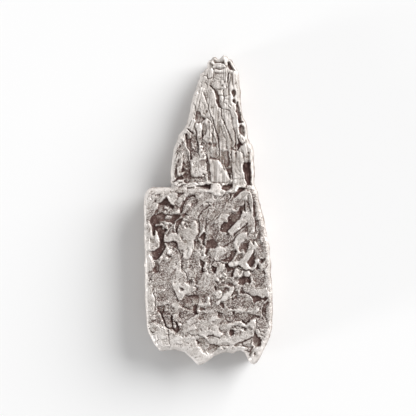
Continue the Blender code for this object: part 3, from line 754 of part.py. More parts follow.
def bring_to_size(mesh):
    """Gives the mesh its full width and length, with the middle of its back at the origin."""
    place = vertex_values(mesh, "co", mesh.vertices)
    low, high = place.min(axis=0), place.max(axis=0)
    place -= ((low[0] + high[0]) / 2, (low[1] + high[1]) / 2, low[2])
    place[:, :2] *= (WIDTH, LENGTH) / (high - low)[:2]
    mesh.vertices.foreach_set("co", place.ravel())
    mesh.update()


def plain_material(name, colour, metallic, roughness):
    material = bpy.data.materials.new(name)
    material.use_nodes = True
    shader = material.node_tree.nodes["Principled BSDF"]
    shader.inputs["Base Color"].default_value = colour
    shader.inputs["Metallic"].default_value = metallic
    shader.inputs["Roughness"].default_value = roughness
    material.diffuse_color = colour
    return material


def main():
    for thing in list(bpy.data.objects):
        bpy.data.objects.remove(thing)
    collection = bpy.data.collections.new("iron meteorite")
    bpy.context.scene.collection.children.link(collection)

    body = rounded_blank(collection)
    bake_modifiers(body)
    body.data.materials.append(plain_material("Weathered metal", METAL_COLOUR, 0.85, 0.5))
    body.data.materials.append(plain_material("Dark oxide", OXIDE_COLOUR, 0.1, 0.9))
    work_the_surface(body)

    facets = body.modifiers.new("Facets", "DECIMATE")
    facets.ratio = MOST_TRIANGLES / (2 * len(body.data.polygons))
    bake_modifiers(body)
    bring_to_size(body.data)


main()
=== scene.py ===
# %% [markdown]
# Iron meteorite, dressed for show
#
# The object is one piece of pale metal: a thick slab with square corners, its face broken into flakes,
# ledges and pits, and a narrow spur of splinters that rises from one end. A plain solid of it is already
# packed as the frame. This script makes the fine surface that is shown in its place: the same outline,
# worked with every flake, groove and grain, and a finish that follows the relief. The relief is drawn as
# levels, lines and dots on a grid, then pressed into an even mesh, because that keeps each flake
# where it belongs and lets the finish read its depth.

# %% Open the frame and note its size
import math

import bpy
import numpy as np
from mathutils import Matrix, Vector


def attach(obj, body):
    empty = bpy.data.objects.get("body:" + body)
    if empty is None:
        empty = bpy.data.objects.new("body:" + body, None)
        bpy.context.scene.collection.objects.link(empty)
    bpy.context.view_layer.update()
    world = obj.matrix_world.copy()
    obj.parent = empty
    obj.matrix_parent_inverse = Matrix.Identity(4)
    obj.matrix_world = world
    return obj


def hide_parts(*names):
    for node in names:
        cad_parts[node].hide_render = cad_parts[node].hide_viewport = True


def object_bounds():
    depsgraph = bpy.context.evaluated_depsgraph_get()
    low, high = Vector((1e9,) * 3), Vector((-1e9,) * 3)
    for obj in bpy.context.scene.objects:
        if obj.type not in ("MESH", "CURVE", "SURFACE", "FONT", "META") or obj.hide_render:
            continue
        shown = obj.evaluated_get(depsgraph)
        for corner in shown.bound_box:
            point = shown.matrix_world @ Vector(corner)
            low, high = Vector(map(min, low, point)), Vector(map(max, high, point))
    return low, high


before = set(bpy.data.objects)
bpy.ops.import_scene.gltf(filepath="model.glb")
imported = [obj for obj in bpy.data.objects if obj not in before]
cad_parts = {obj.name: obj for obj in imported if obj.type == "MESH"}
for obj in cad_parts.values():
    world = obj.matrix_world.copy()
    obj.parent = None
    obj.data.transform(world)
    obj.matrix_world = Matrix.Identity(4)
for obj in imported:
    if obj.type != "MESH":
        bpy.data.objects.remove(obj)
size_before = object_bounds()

print("CAD nodes:", sorted(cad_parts))

# %% [markdown]
# Sizes
#
# Everything on the face is placed on a drawing grid with a step of a quarter of a millimetre, x to the
# right and y up towards the tip of the spur. Heights are drawn in millimetres from the plain surface of the
# face, and RELIEF_SHARE says how much of them is worked into the metal. Keeping the drawing in grid steps
# makes the numbers short, and one value turns them to metres.

# %% Sizes
MILLIMETRE = 0.001
GRID = 0.25 * MILLIMETRE
SLAB_THICKNESS = 9.0 * MILLIMETRE
SPUR_THICKNESS_AT_ROOT = 8.2 * MILLIMETRE
SPUR_THICKNESS_AT_TIP = 6.0 * MILLIMETRE
EDGE_RADIUS = 1.1 * MILLIMETRE
SEAM = (16, 27)
SPUR_TIP = 155
SEED = 7


def points(text):
    """'x y, x y' as an array of points in grid steps."""
    return np.array([[float(value) for value in point.split()] for point in text.split(",")])


def smooth(share):
    """0 below 0, 1 above 1, and an even slope between."""
    share = np.clip(share, 0, 1)
    return share * share * (3 - 2 * share)


# %% [markdown]
# The outline
#
# Seen from above, the slab has straight worn sides and a foot with two lobes, and the spur leans to the
# right with a ragged crown. The outline could be cut from a block with Booleans, but one closed line is
# easier to correct.

# %% The outline
OUTLINE = points(
    "-37 23.5, -41 23, -56 22.7, -60.5 20.5, -62.5 16, -63.5 8, -64 -5, -63.8 -30, -63 -60, "
    "-62.5 -85, -62 -105, -61.3 -116, -59.3 -123.5, -55.5 -130.5, -51.5 -136, -48.5 -139.3, "
    "-45 -140.3, -40 -139.2, -33 -139.4, -24 -141, -19.5 -144.3, -14 -149.3, -11.5 -152.3, "
    "-8.5 -153.6, -5 -152.8, -1.5 -150.5, 1.5 -148.3, 5.5 -145, 10.5 -143.2, 17.5 -141.2, "
    "24.3 -142.3, 29 -140.3, 32.5 -139.8, 36.5 -142, 38.7 -145.5, 40.5 -149.5, 43 -152, 45.5 -152.8, "
    "48 -151, 51 -146.5, 54.8 -139.5, 58.5 -132.8, 61.5 -127, 63.6 -118, 64.6 -105, 64.4 -85, 63 -60, "
    "61.5 -40, 59.5 -27, 56.5 -12, 53.5 0, 50.5 11, 50 17, 48.5 21, 46.8 24, 46.8 30, 46.8 45, 46 55, "
    "45 62, 42 67, 40.6 71, 40 76, 39 83, 37.5 88.5, 35.5 93, 34.2 100, 33.2 110, 32.6 120, 32 128, "
    "31 136, 28.8 141, 26 147, 23.5 150.5, 20.5 151, 20 153, 18 153.8, 15.6 155, 13.5 153.5, "
    "11.5 150.8, 9.5 151, 8 152.6, 6 153, 3.8 151.8, 2.5 150, 0.3 149.3, -1 146.5, -1 142, -3 140.5, "
    "-6 137.5, -8.6 135, -8.6 131, -10.5 128.3, -11.2 124, -12.5 121, -14.5 117, -16.3 110, "
    "-17.8 104, -19 98, -20 92, -22 85.5, -24.8 80, -28 75.5, -30.5 70, -33 65, -35 59, -36.4 50, "
    "-37.3 40, -37.3 32, -38.2 27.5"
)

print("outline points:", len(OUTLINE), "width and length in steps:", np.ptp(OUTLINE, axis=0))

# %% [markdown]
# Unevenness
#
# Broken metal is uneven at every size. Value noise on a fixed table gives smooth lumps of any size, the
# same on every run, and scattered seeds give the rounded grains of the matt metal between the flakes.

# %% Lumps and grains
CELLS = 64
TABLE = np.random.default_rng(SEED).random((CELLS, CELLS, CELLS))
LEAF_TILT = 1.2


def lumps(place, size, layer):
    """Smooth noise from -1 to 1 with lumps of this size; each layer is a pattern of its own."""
    if place.shape[1] == 2:
        place = np.column_stack([place, np.zeros(len(place))])
        corners = [(0, 0, 0), (1, 0, 0), (0, 1, 0), (1, 1, 0)]
    else:
        corners = list(np.ndindex(2, 2, 2))
    scaled = place / size + np.array([17.3, 31.7, 0]) * layer + (1000, 1000, 500 + layer)
    cell = np.floor(scaled).astype(int)
    part = smooth(scaled - cell)
    total = np.zeros(len(place))
    for corner in corners:
        x, y, z = ((cell + corner) % CELLS).T
        used = 3 if len(corners) == 8 else 2
        weight = np.where(corner, part, 1 - part)[:, :used].prod(axis=1)
        total += TABLE[x, y, z] * weight
    return 2 * total - 1


def nearest_seeds(place, size, layer):
    """How far the two nearest seeds are, the way to the nearest, and that one's own number."""
    scaled = place / size + 11.3 * layer + 1000
    cell = np.floor(scaled).astype(int)
    first, second, own = np.full(len(place), 9.0), np.full(len(place), 9.0), np.zeros(len(place))
    way = np.zeros((len(place), 2))
    for across, along in np.ndindex(3, 3):
        x, y = (cell + (across - 1, along - 1)).T
        column, row = x % CELLS, y % CELLS
        seed = np.column_stack([x + TABLE[column, row, layer], y + TABLE[column, row, layer + 1]])
        away = np.hypot(*(seed - scaled).T)
        nearer = away < first
        second = np.where(nearer, first, np.minimum(second, away))
        first = np.where(nearer, away, first)
        way[nearer] = (seed - scaled)[nearer]
        own[nearer] = TABLE[column, row, layer + 2][nearer]
    return first, second, way, own


def grains(place, size, layer):
    """Rounded grains of about this size: 1 in the middle of each, 0 where two of them meet."""
    first, second, _, _ = nearest_seeds(place, size, layer)
    return np.clip(second - first, 0, 1)


def leaves(place, size, layer):
    """Small tilted leaves of about this size, each at its own level, from about -1 to 1."""
    _, _, way, own = nearest_seeds(place, size, layer)
    tilt = way[:, 0] * np.cos(40 * own) + way[:, 1] * np.sin(40 * own)
    return (2 * own - 1) + LEAF_TILT * tilt


# %% [markdown]
# Tools that work the face
#
# Three tools are enough: one sets the level inside a broken outline, one cuts or raises a line, and one
# presses or raises a dot. The first two read the distance to the line that was drawn. The levels follow the
# order in which the pieces lie: hollows first, then the flakes over them, then grooves and ridges.

# %% Distances
def distance_to(line, place, closed):
    """Distance of each place from a line of points."""
    ends = zip(line, np.roll(line, -1, axis=0)) if closed else zip(line[:-1], line[1:])
    nearest = np.full(len(place), np.inf)
    for start, end in ends:
        along = end - start
        share = np.clip((place - start) @ along / (along @ along), 0, 1)
        nearest = np.minimum(nearest, ((place - start - share[:, None] * along) ** 2).sum(axis=1))
    return np.sqrt(nearest)


def depth_inside(line, place):
    """Distance inside a closed outline, negative outside it."""
    odd = np.zeros(len(place), bool)
    for start, end in zip(line, np.roll(line, -1, axis=0)):
        if start[1] == end[1]:
            continue
        between = (start[1] > place[:, 1]) != (end[1] > place[:, 1])
        crossing = start[0] + (end[0] - start[0]) * (place[:, 1] - start[1]) / (end[1] - start[1])
        odd ^= between & (place[:, 0] < crossing)
    distance = distance_to(line, place, closed=True)
    return np.where(odd, distance, -distance)


def close_to(line, place, reach):
    """Numbers of the places within reach of the line's own box."""
    low, high = line.min(axis=0) - reach, line.max(axis=0) + reach
    return np.flatnonzero(((place > low) & (place < high)).all(axis=1))


# %% Levels, lines and dots
BROKEN_EDGE = 0.6
TILT = 0.5
UNEVEN_SHARE, UNEVEN_SIZE, UNEVEN_LAYER = 0.2, 3.2, 3
TURN_OF_TILT = 2.4  # radians from one piece to the next
LINE_SHAPE = 0.8  # below 1 a groove has a rounded bottom, and above 1 a sharp one
DOT_REACH = 1.3


def set_level(relief, place, level, text, number):
    """Brings the relief inside an outline to this level, a little tilted and uneven, with a broken edge."""
    line = points(text)
    chosen = close_to(line, place, BROKEN_EDGE)
    here = place[chosen]
    cover = smooth(depth_inside(line, here) / (2 * BROKEN_EDGE) + 0.5)
    turn = TURN_OF_TILT * number
    direction = np.array([math.cos(turn), math.sin(turn)])
    tilt = TILT * (here - line.mean(axis=0)) @ direction / np.ptp(line, axis=0).max()
    uneven = level * (1 + UNEVEN_SHARE * lumps(here, UNEVEN_SIZE, UNEVEN_LAYER)) + tilt
    relief[chosen] += (uneven - relief[chosen]) * cover


def add_line(relief, place, width, change, text):
    """Cuts a groove or raises a ridge, which fades out at both sides."""
    line = points(text)
    chosen = close_to(line, place, width)
    away = distance_to(line, place[chosen], closed=False) / (width / 2)
    relief[chosen] += change * np.clip(1 - away, 0, 1) ** LINE_SHAPE


def add_dots(relief, place, change, text):
    """Presses or raises a round dot for each 'x y radius depth'."""
    for x, y, radius, depth in points(text):
        away = np.hypot(place[:, 0] - x, place[:, 1] - y) / (DOT_REACH * radius)
        chosen = np.flatnonzero(away < 1)
        relief[chosen] += change * depth * np.sqrt(1 - away[chosen] ** 2)

# %% [markdown]
# Hollows and pits of the slab
#
# Between the flakes the face drops into angular hollows, drawn up to a millimetre and a half deep. Each is
# an outline with its drawn level in millimetres, negative below the plain surface. Flat-bottomed levels with
# broken walls look more like torn metal than dents pressed by a round brush would.

# %% Hollows of the slab
SLAB_HOLLOWS = {
    "upper left hollow": (-1.3,
        "-42 12.5, -40 11.5, -39.5 9, -37.5 7, -35.5 5.5, -34 3.5, -34.5 0.5, -36 0.5, -37 2, "
        "-38.5 3.5, -41 3, -43.5 4.5, -46.5 4, -48.5 4.5, -49.5 5.5, -49 7, -47 8, -45.5 9.5, -44 11"),
    "brown arc": (-1.1,
        "-28.5 -3, -29 1, -28 4, -26.5 6.5, -25 8, -23.5 10, -21.5 12.5, -19.5 14, -17 14.5, -14 15, "
        "-12 15, -11.5 13, -12.5 12, -14.5 12.5, -17 12.5, -19 11, -21 9, -23 7, -24.5 5, -25 3, "
        "-25.5 0, -26 -3"),
    "arc floor": (-0.3, "-20 8, -19 10.5, -16 11, -12 11, -10.5 8, -12 5, -16 4.5, -19.5 5"),
    "dim zone under the pit": (-0.7,
        "-54.5 -51, -53 -54, -51.5 -55, -53 -56.5, -56 -58.5, -56.5 -61, -54 -63, -51 -62.5, -49 -61, "
        "-48 -57, -49 -53, -50.5 -51"),
    "bird hollow": (-1.2,
        "-6 -23, -4 -21.5, -2 -24, -2 -28, -2.5 -30, -3 -33, -2.5 -35, -4 -36, -5.5 -34, -5.5 -31, "
        "-6.5 -29, -8.5 -27.5, -7 -25.5"),
    "middle hollow": (-0.85,
        "-0.5 -31, 2 -30, 5 -29, 9.5 -31, 11 -31.5, 9.5 -34, 11 -36.5, 8 -37, 5 -38, 2 -38, 1 -40, "
        "0.5 -42, 0.5 -45, -0.5 -46, -2 -43, -1 -38, -3.5 -36.5, -1 -34"),
    "river": (-1.0,
        "33 3.5, 35 4, 37 7.5, 37.5 4, 38 -1.5, 36.5 -0.5, 35 -2, 33.5 -3.5, 33 -6, 31.5 -9, "
        "28.5 -12, 26 -15, 23 -18, 21 -20, 20 -22, 15 -22, 12.5 -20, 12.5 -16, 14 -14, 16 -12.5, "
        "20.5 -12.5, 21 -9, 21 -6.5, 22.5 -5, 24.5 -2.5, 25.5 -2, 27 -3, 29 -2, 30.5 -1, 31.5 1, "
        "32.5 2"),
    "slot over the corner plate": (-1.3,
        "25.5 13.5, 26.5 16.5, 28.5 18.5, 30.5 21, 33 23, 35.5 23, 37.5 22, 36.5 20.5, 34 19, "
        "31.5 17, 29.5 15, 28 13, 27 13"),
    "right channel": (-0.8,
        "45.5 14, 46.5 10, 47.5 7, 48.5 3, 49 -2, 49 -6, 47.5 -8, 46.5 -6, 45.5 -2, 45.5 4, 45 10"),
    "antler hollow": (-0.75,
        "31 -37.5, 32 -36, 34 -34.5, 36 -33, 38.5 -32, 40 -33.5, 41 -37, 39.5 -40.5, 38 -42.5, "
        "36.5 -41.5, 35.5 -39.5, 33 -40, 31 -39.5"),
    "lower antler hollow": (-0.6,
        "28.5 -47, 30.5 -44.5, 33 -43.5, 36 -44.5, 34.5 -47, 32.5 -50, 30 -51, 27.5 -50.5"),
    "hollow beside the antler": (-0.85,
        "46.5 -39.5, 47 -42, 48 -48, 48 -51, 47 -54, 45 -56, 44 -57, 41.5 -54.5, 40 -52, 41 -49.5, "
        "43.5 -46.5, 45 -43.5, 46 -41"),
    "notch by the rim": (-1.2, "50 -53.5, 51 -56, 52.5 -58, 50.5 -59, 49.5 -62, 49 -59, 49 -55"),
    "hollow left of the antler": (-1.1,
        "20 -50, 21 -52, 19 -53.5, 17 -53, 17 -56, 18 -57.5, 19.5 -59, 19.5 -61, 21.5 -61.5, "
        "23.5 -60, 25 -60, 24 -63, 23.5 -66, 25.5 -66, 26.5 -62, 27.5 -60, 28.5 -58, 31 -57.5, "
        "35 -58, 33 -56, 30 -55.5, 28 -56.5, 22 -57, 21 -55, 23.5 -51, 25.5 -48.5, 26.5 -46, "
        "28.5 -42.5, 29 -40, 27.5 -42, 25.5 -40, 23 -41.5, 24 -43, 25 -45, 23.5 -47, 22 -49"),
    "deep pit": (-1.3,
        "29.5 -69.5, 31.5 -69, 33 -67.5, 35 -66.5, 37.5 -66, 39.5 -66.5, 42.5 -66, 43 -69, "
        "43.5 -72.5, 42 -73.5, 40.5 -72, 38.5 -71.5, 36.5 -74, 33 -74, 30.5 -73, 31.5 -71.5, "
        "30.5 -70.5"),
    "hollow of the hook": (-0.6,
        "-43.5 -31, -41.5 -32, -38 -31, -35.5 -30.5, -33 -31, -30.5 -33, -29.5 -36, -29.5 -39, "
        "-32 -38, -35 -36.5, -39 -36, -42 -35.5"),
    "narrow pit": (-1.3,
        "-7 -49, -5.5 -49.5, -3.5 -51, -3.5 -54, -5 -56, -5.5 -57.5, -5 -60, -4 -62, -6.5 -62, "
        "-7 -60, -7 -56, -8 -53.5, -7.5 -51.5"),
    "red pit": (-1.3, "4.5 -55.5, 6 -56, 9 -57.5, 8 -60, 7.5 -62.5, 5.5 -62, 4.5 -60, 4 -57.5"),
    "pit of the left flake": (-0.8,
        "-20 -71.5, -18.5 -69.5, -16.5 -68.5, -15 -69, -15.5 -71.5, -17 -73, -19 -73"),
    "lower left channel": (-1.0,
        "-50.5 -96.5, -49 -95, -43 -94.5, -40.5 -93, -38.5 -94, -41 -96, -43.5 -98, -43.5 -101, "
        "-41.5 -103, -43 -105, -40 -107, -37 -106, -34.5 -105, -35.5 -109, -36 -113, -34.5 -116, "
        "-32.5 -117, -31.5 -114, -33 -112, -31 -111.5, -29.5 -114, -28.5 -117, -29 -120, -31 -122.5, "
        "-33.5 -121, -34.5 -119, -36.5 -118, -39 -118, -41 -117.5, -43.5 -115, -44.5 -111, -46 -108, "
        "-47.5 -105, -48.5 -102, -50.5 -100.5"),
    "dark shelf": (-0.5,
        "-28.5 -90, -26 -89, -23.5 -86.5, -21.5 -84.5, -15 -85, -10 -84.5, -8 -87.5, -8.5 -92, "
        "-10 -95, -10.5 -103.5, -13 -104.5, -17 -106.5, -20.5 -109, -23.5 -110.5, -27 -109.5, "
        "-30 -107, -30 -103, -24 -103, -17 -102.5, -14.5 -101, -15 -99.5, -19 -99, -24 -98.5, "
        "-26 -96.5, -28.5 -94"),
    "brown end of the shelf": (-1.2,
        "-15 -96, -12.5 -94, -10.5 -95, -10.5 -103.5, -13 -104.5, -15 -102, -14 -100"),
    "arch pit": (-0.9, "-8.5 -99, -7.5 -97, -4.5 -96.5, -2.5 -98, -3 -99.5, -5 -99, -6 -100.5"),
    "grey dip": (-0.3, "-6 -102.5, -3 -102.5, -3 -106, -5 -109, -7.5 -110, -9 -108.5, -8.5 -105"),
    "diagonal pit": (-0.75, "11.5 -92, 13.5 -91, 16 -92.5, 17.5 -96, 16.5 -97.5, 14 -96.5, 12 -94"),
    "long dark band": (-0.5,
        "16.5 -104, 20 -104, 24 -104, 28 -102, 33 -101.5, 40 -102, 48 -104, 53 -106, 48 -108, "
        "42 -108.5, 41 -111, 39 -112.5, 36 -112, 33 -110, 27 -109.5, 22 -110, 20 -111.5, 18.5 -109"),
    "box pit": (-0.7, "10 -101, 12 -101, 16 -103, 16.5 -106, 15 -107, 11 -107, 10 -104"),
    "square pit": (-0.9, "24.5 -100, 27.5 -101, 27 -104, 25 -103.5"),
    "round pit": (-1.25,
        "21 -120.5, 22 -119, 25.5 -119, 28.5 -119.5, 27 -121, 26.5 -123, 24.5 -125, 22 -124.5, "
        "21 -122.5"),
    "step pit left": (-0.9,
        "24 -81, 26 -79.5, 29.5 -80.5, 30.5 -82.5, 30 -84, 26.5 -84, 22.5 -86, 23.5 -83.5"),
    "step pit right": (-0.95,
        "32 -82.5, 33 -79.5, 34 -76.5, 35.5 -76.5, 36 -79.5, 38 -81.5, 41 -82, 43.5 -84.5, 45.5 -85, "
        "48 -84.5, 50 -84.5, 53 -86, 55 -87, 57 -86.5, 58.5 -86, 61.5 -88.5, 59 -89.5, 55 -89, "
        "52 -90.5, 48 -91.5, 46.5 -93, 45.5 -90, 45 -87, 41 -84, 37 -82.5"),
    "rim slot": (-0.6,
        "57 -93.5, 60.5 -91, 62 -92, 61 -95.5, 59.5 -98, 59 -103, 60.5 -106.5, 61 -111, 61 -115, "
        "60 -112, 58 -106.5, 54.5 -104.5, 54.5 -100, 55.5 -97"),
    "wedge at the lower edge": (-0.95,
        "26 -137, 26.5 -134.5, 29 -134.5, 31 -132.5, 34 -131, 37 -129, 40 -127.5, 44 -126, 46.5 -125, "
        "45.5 -128, 44.5 -131, 43.5 -134, 42.5 -136.5, 40 -137.5, 37 -136.5, 33 -136, 29.5 -136, "
        "27 -137"),
    "lower right pit": (-1.15,
        "46 -125.5, 47 -121, 48 -120.5, 49 -123, 50.5 -125, 51.5 -126.5, 53.5 -127, 54 -128.5, "
        "55.5 -129.5, 54.5 -131.5, 54.5 -133, 54 -136, 50.5 -135.5, 47.5 -135, 46 -134, 45.5 -130, "
        "45 -128"),
    "zigzag": (-1.1,
        "44 -134.5, 46 -135.5, 45.5 -138, 44 -140.5, 43 -142, 42.5 -145.5, 41 -145, 42 -141.5, "
        "39.5 -141.5, 37.5 -140.5, 39.5 -139, 42 -136.5"),
    "dip of the bottom lobe": (-0.6,
        "-7.5 -133.5, -3 -134.5, 2 -133.5, 6 -133, 9.5 -134.5, 10 -137, 10.5 -140, 7 -141.5, "
        "4 -142.5, 1 -142.5, -1 -140, -4 -141.5, -6 -138"),
    "pits over the bottom lobe": (-0.45,
        "-12 -129, -9 -127, -6 -127, -3 -128, -0.5 -130.5, -3 -133, -7 -133, -9 -132, -11 -132.5"),
    "granular floor": (-0.4,
        "5 -23, 12 -22, 20 -22.5, 24 -26, 26 -29, 23 -32, 20 -35, 15 -37.5, 11.5 -35, 10.5 -31, "
        "5 -28.5, 2.5 -27"),
    "middle right floor": (-0.3,
        "40 -24, 47 -23.5, 50 -30, 50.5 -35, 48 -31, 45.5 -33, 43.5 -31, 41.5 -33, 40.5 -29"),
    "lower floor": (-0.2, "28 -84, 45 -88, 45 -98, 35 -99, 22 -98, 24 -90"),
    "head of the river": (-1.25,
        "33 4, 34.5 3, 37 5, 38 2, 38 -1.5, 37 -1.5, 36 0.5, 35 -0.5, 34.5 -2.5, 33 -3, 31 -1.5, "
        "31 0.5, 32.5 1.5"),
    "blotch by the arc": (-0.65,
        "-27 -3.5, -24.5 -2.5, -22.5 -3, -20 -4, -20.5 -6, -22 -8, -24 -8.5, -26 -7.5, -27.5 -6"),
    "second brown patch": (-1.0,
        "-31.5 -10.5, -28.5 -9, -26.5 -9.5, -26.5 -12.5, -28.5 -15, -29.5 -18, -31.5 -22.5, -33 -22, "
        "-32.5 -19, -33.5 -17.5, -32 -14"),
    "right granular floor": (-0.3,
        "43.5 -59.5, 46.5 -60.5, 50 -59.5, 53 -59, 57 -60, 58 -66, 57 -72, 53 -76, 47.5 -76.5, "
        "44.5 -73, 43.5 -68, 43.5 -64.5"),
    "brown dip by the rim": (-0.6,
        "51.5 -49.5, 54 -48.5, 57.5 -48.5, 58 -50.5, 55.5 -52.5, 53 -53, 51.5 -51.5"),
    "dip left of the diagonal ridge": (-0.55,
        "6.5 -75.5, 10 -76.5, 14 -77.5, 19 -76.5, 21.5 -77.5, 20.5 -80, 16.5 -82, 14.5 -80, 12 -79, "
        "9.5 -79.5, 7.5 -80.5"),
    "red streak": (-0.45, "17.5 -73, 21 -72.5, 25 -73.5, 27.5 -75.5, 24 -75.5, 20 -75"),
    "dip left of the Y": (-0.5,
        "-8.5 -84, -5 -83.5, -1.5 -85.5, -1 -89, -1.5 -91.5, -5 -92.5, -8.5 -92.5, -8 -88"),
    "floor under the ledges": (-0.8,
        "-53 -15.5, -50 -13.5, -44 -12.5, -40 -12.5, -37.5 -13.5, -37.5 -16, -40 -17.5, -44 -17.5, "
        "-46.5 -16.5"),
    "middle of the upper left hollow": (-0.7,
        "-49.5 5.5, -46.5 4, -43.5 4.5, -41 3, -40 0, -40 -3.5, -43 -4, -44.5 -2, -46.5 -1, -49 -3.5, "
        "-52.5 -4, -54.5 -3.5, -52.5 -1, -51 1, -49.5 3"),
    "deep floor of the upper left": (-1.3,
        "-54.5 -4, -50 -4, -47 -1, -44.5 -2, -42 -4, -39 -4, -36.5 -4.5, -33 -4, -28.5 -4, -27 -6, "
        "-29 -8.5, -31 -9.5, -33 -11.5, -33 -14, -35.5 -14.5, -37.5 -13, -41 -12, -47 -12, -48 -13.5, "
        "-52 -14, -53.5 -15.5, -52 -16, -47 -16, -43.5 -17, -41 -18.5, -41 -20, -43 -22, -43.5 -25, "
        "-44.5 -28, -44 -31, -43 -34, -42 -37, -43 -39, -44.5 -41, -45 -43, -47 -45, -48.5 -47, "
        "-50 -49, -52 -50, -54.5 -49.5, -56 -47, -58 -45.5, -59 -43, -57.5 -41, -53.5 -40, -50.5 -39, "
        "-49 -36.5, -48 -32, -48.5 -28.5, -49.5 -26, -51 -23, -52.5 -20, -53.5 -20, -53.5 -23.5, "
        "-54.5 -25, -56 -23.5, -56 -20, -56.5 -16.5, -58.5 -12.5, -59.5 -10, -58 -7.5, -56 -5"),
    "pit under the rim plate": (-0.9,
        "-59 -43, -57.5 -41, -54 -41, -53 -43, -54 -46.5, -56 -47, -58 -45.5"),
    "grey band right of the bird": (-0.5,
        "-12.5 -26.5, -10 -23.5, -9 -27, -7.5 -30, -8 -35, -9 -38, -11 -39.5, -13 -39, -14 -36, "
        "-14 -30"),
    "channel left of the bird": (-0.4,
        "-29.5 -39.5, -25.5 -39.5, -25.5 -43, -25.5 -47, -25 -52, -25.5 -58, -27.5 -58, -27 -52, "
        "-28 -48, -29 -44"),
    "right channel, lower": (-0.4,
        "46.5 -6, 49 -6, 50 -9, 51.5 -12, 52.5 -16, 53 -22, 53.5 -26, 53.5 -31, 55 -37, 54.5 -40, "
        "52.5 -38, 51 -34, 50 -29, 49.5 -24, 48 -23, 48 -18, 47 -12"),
    "brown dip left of the antler": (-0.8,
        "23 -40.5, 26 -40, 28.5 -41.5, 27 -45, 25.5 -48.5, 23.5 -51, 20 -51.5, 16 -51, 13.5 -50, "
        "17 -48.5, 21 -46.5, 22.5 -43.5"),
    "right half of that pit": (-1.5,
        "50.5 -126.5, 53.5 -127, 54 -128.5, 55.5 -129.5, 54.5 -131.5, 54.5 -133, 54 -136, 50.5 -135, "
        "51 -131"),
}

# %% [markdown]
# Flakes and ledges of the slab
#
# Over the hollows lie flakes, leaves and small plates, drawn up to nearly a millimetre proud, some of them
# forked. They are drawn in the same way, and later ones lie over earlier ones.

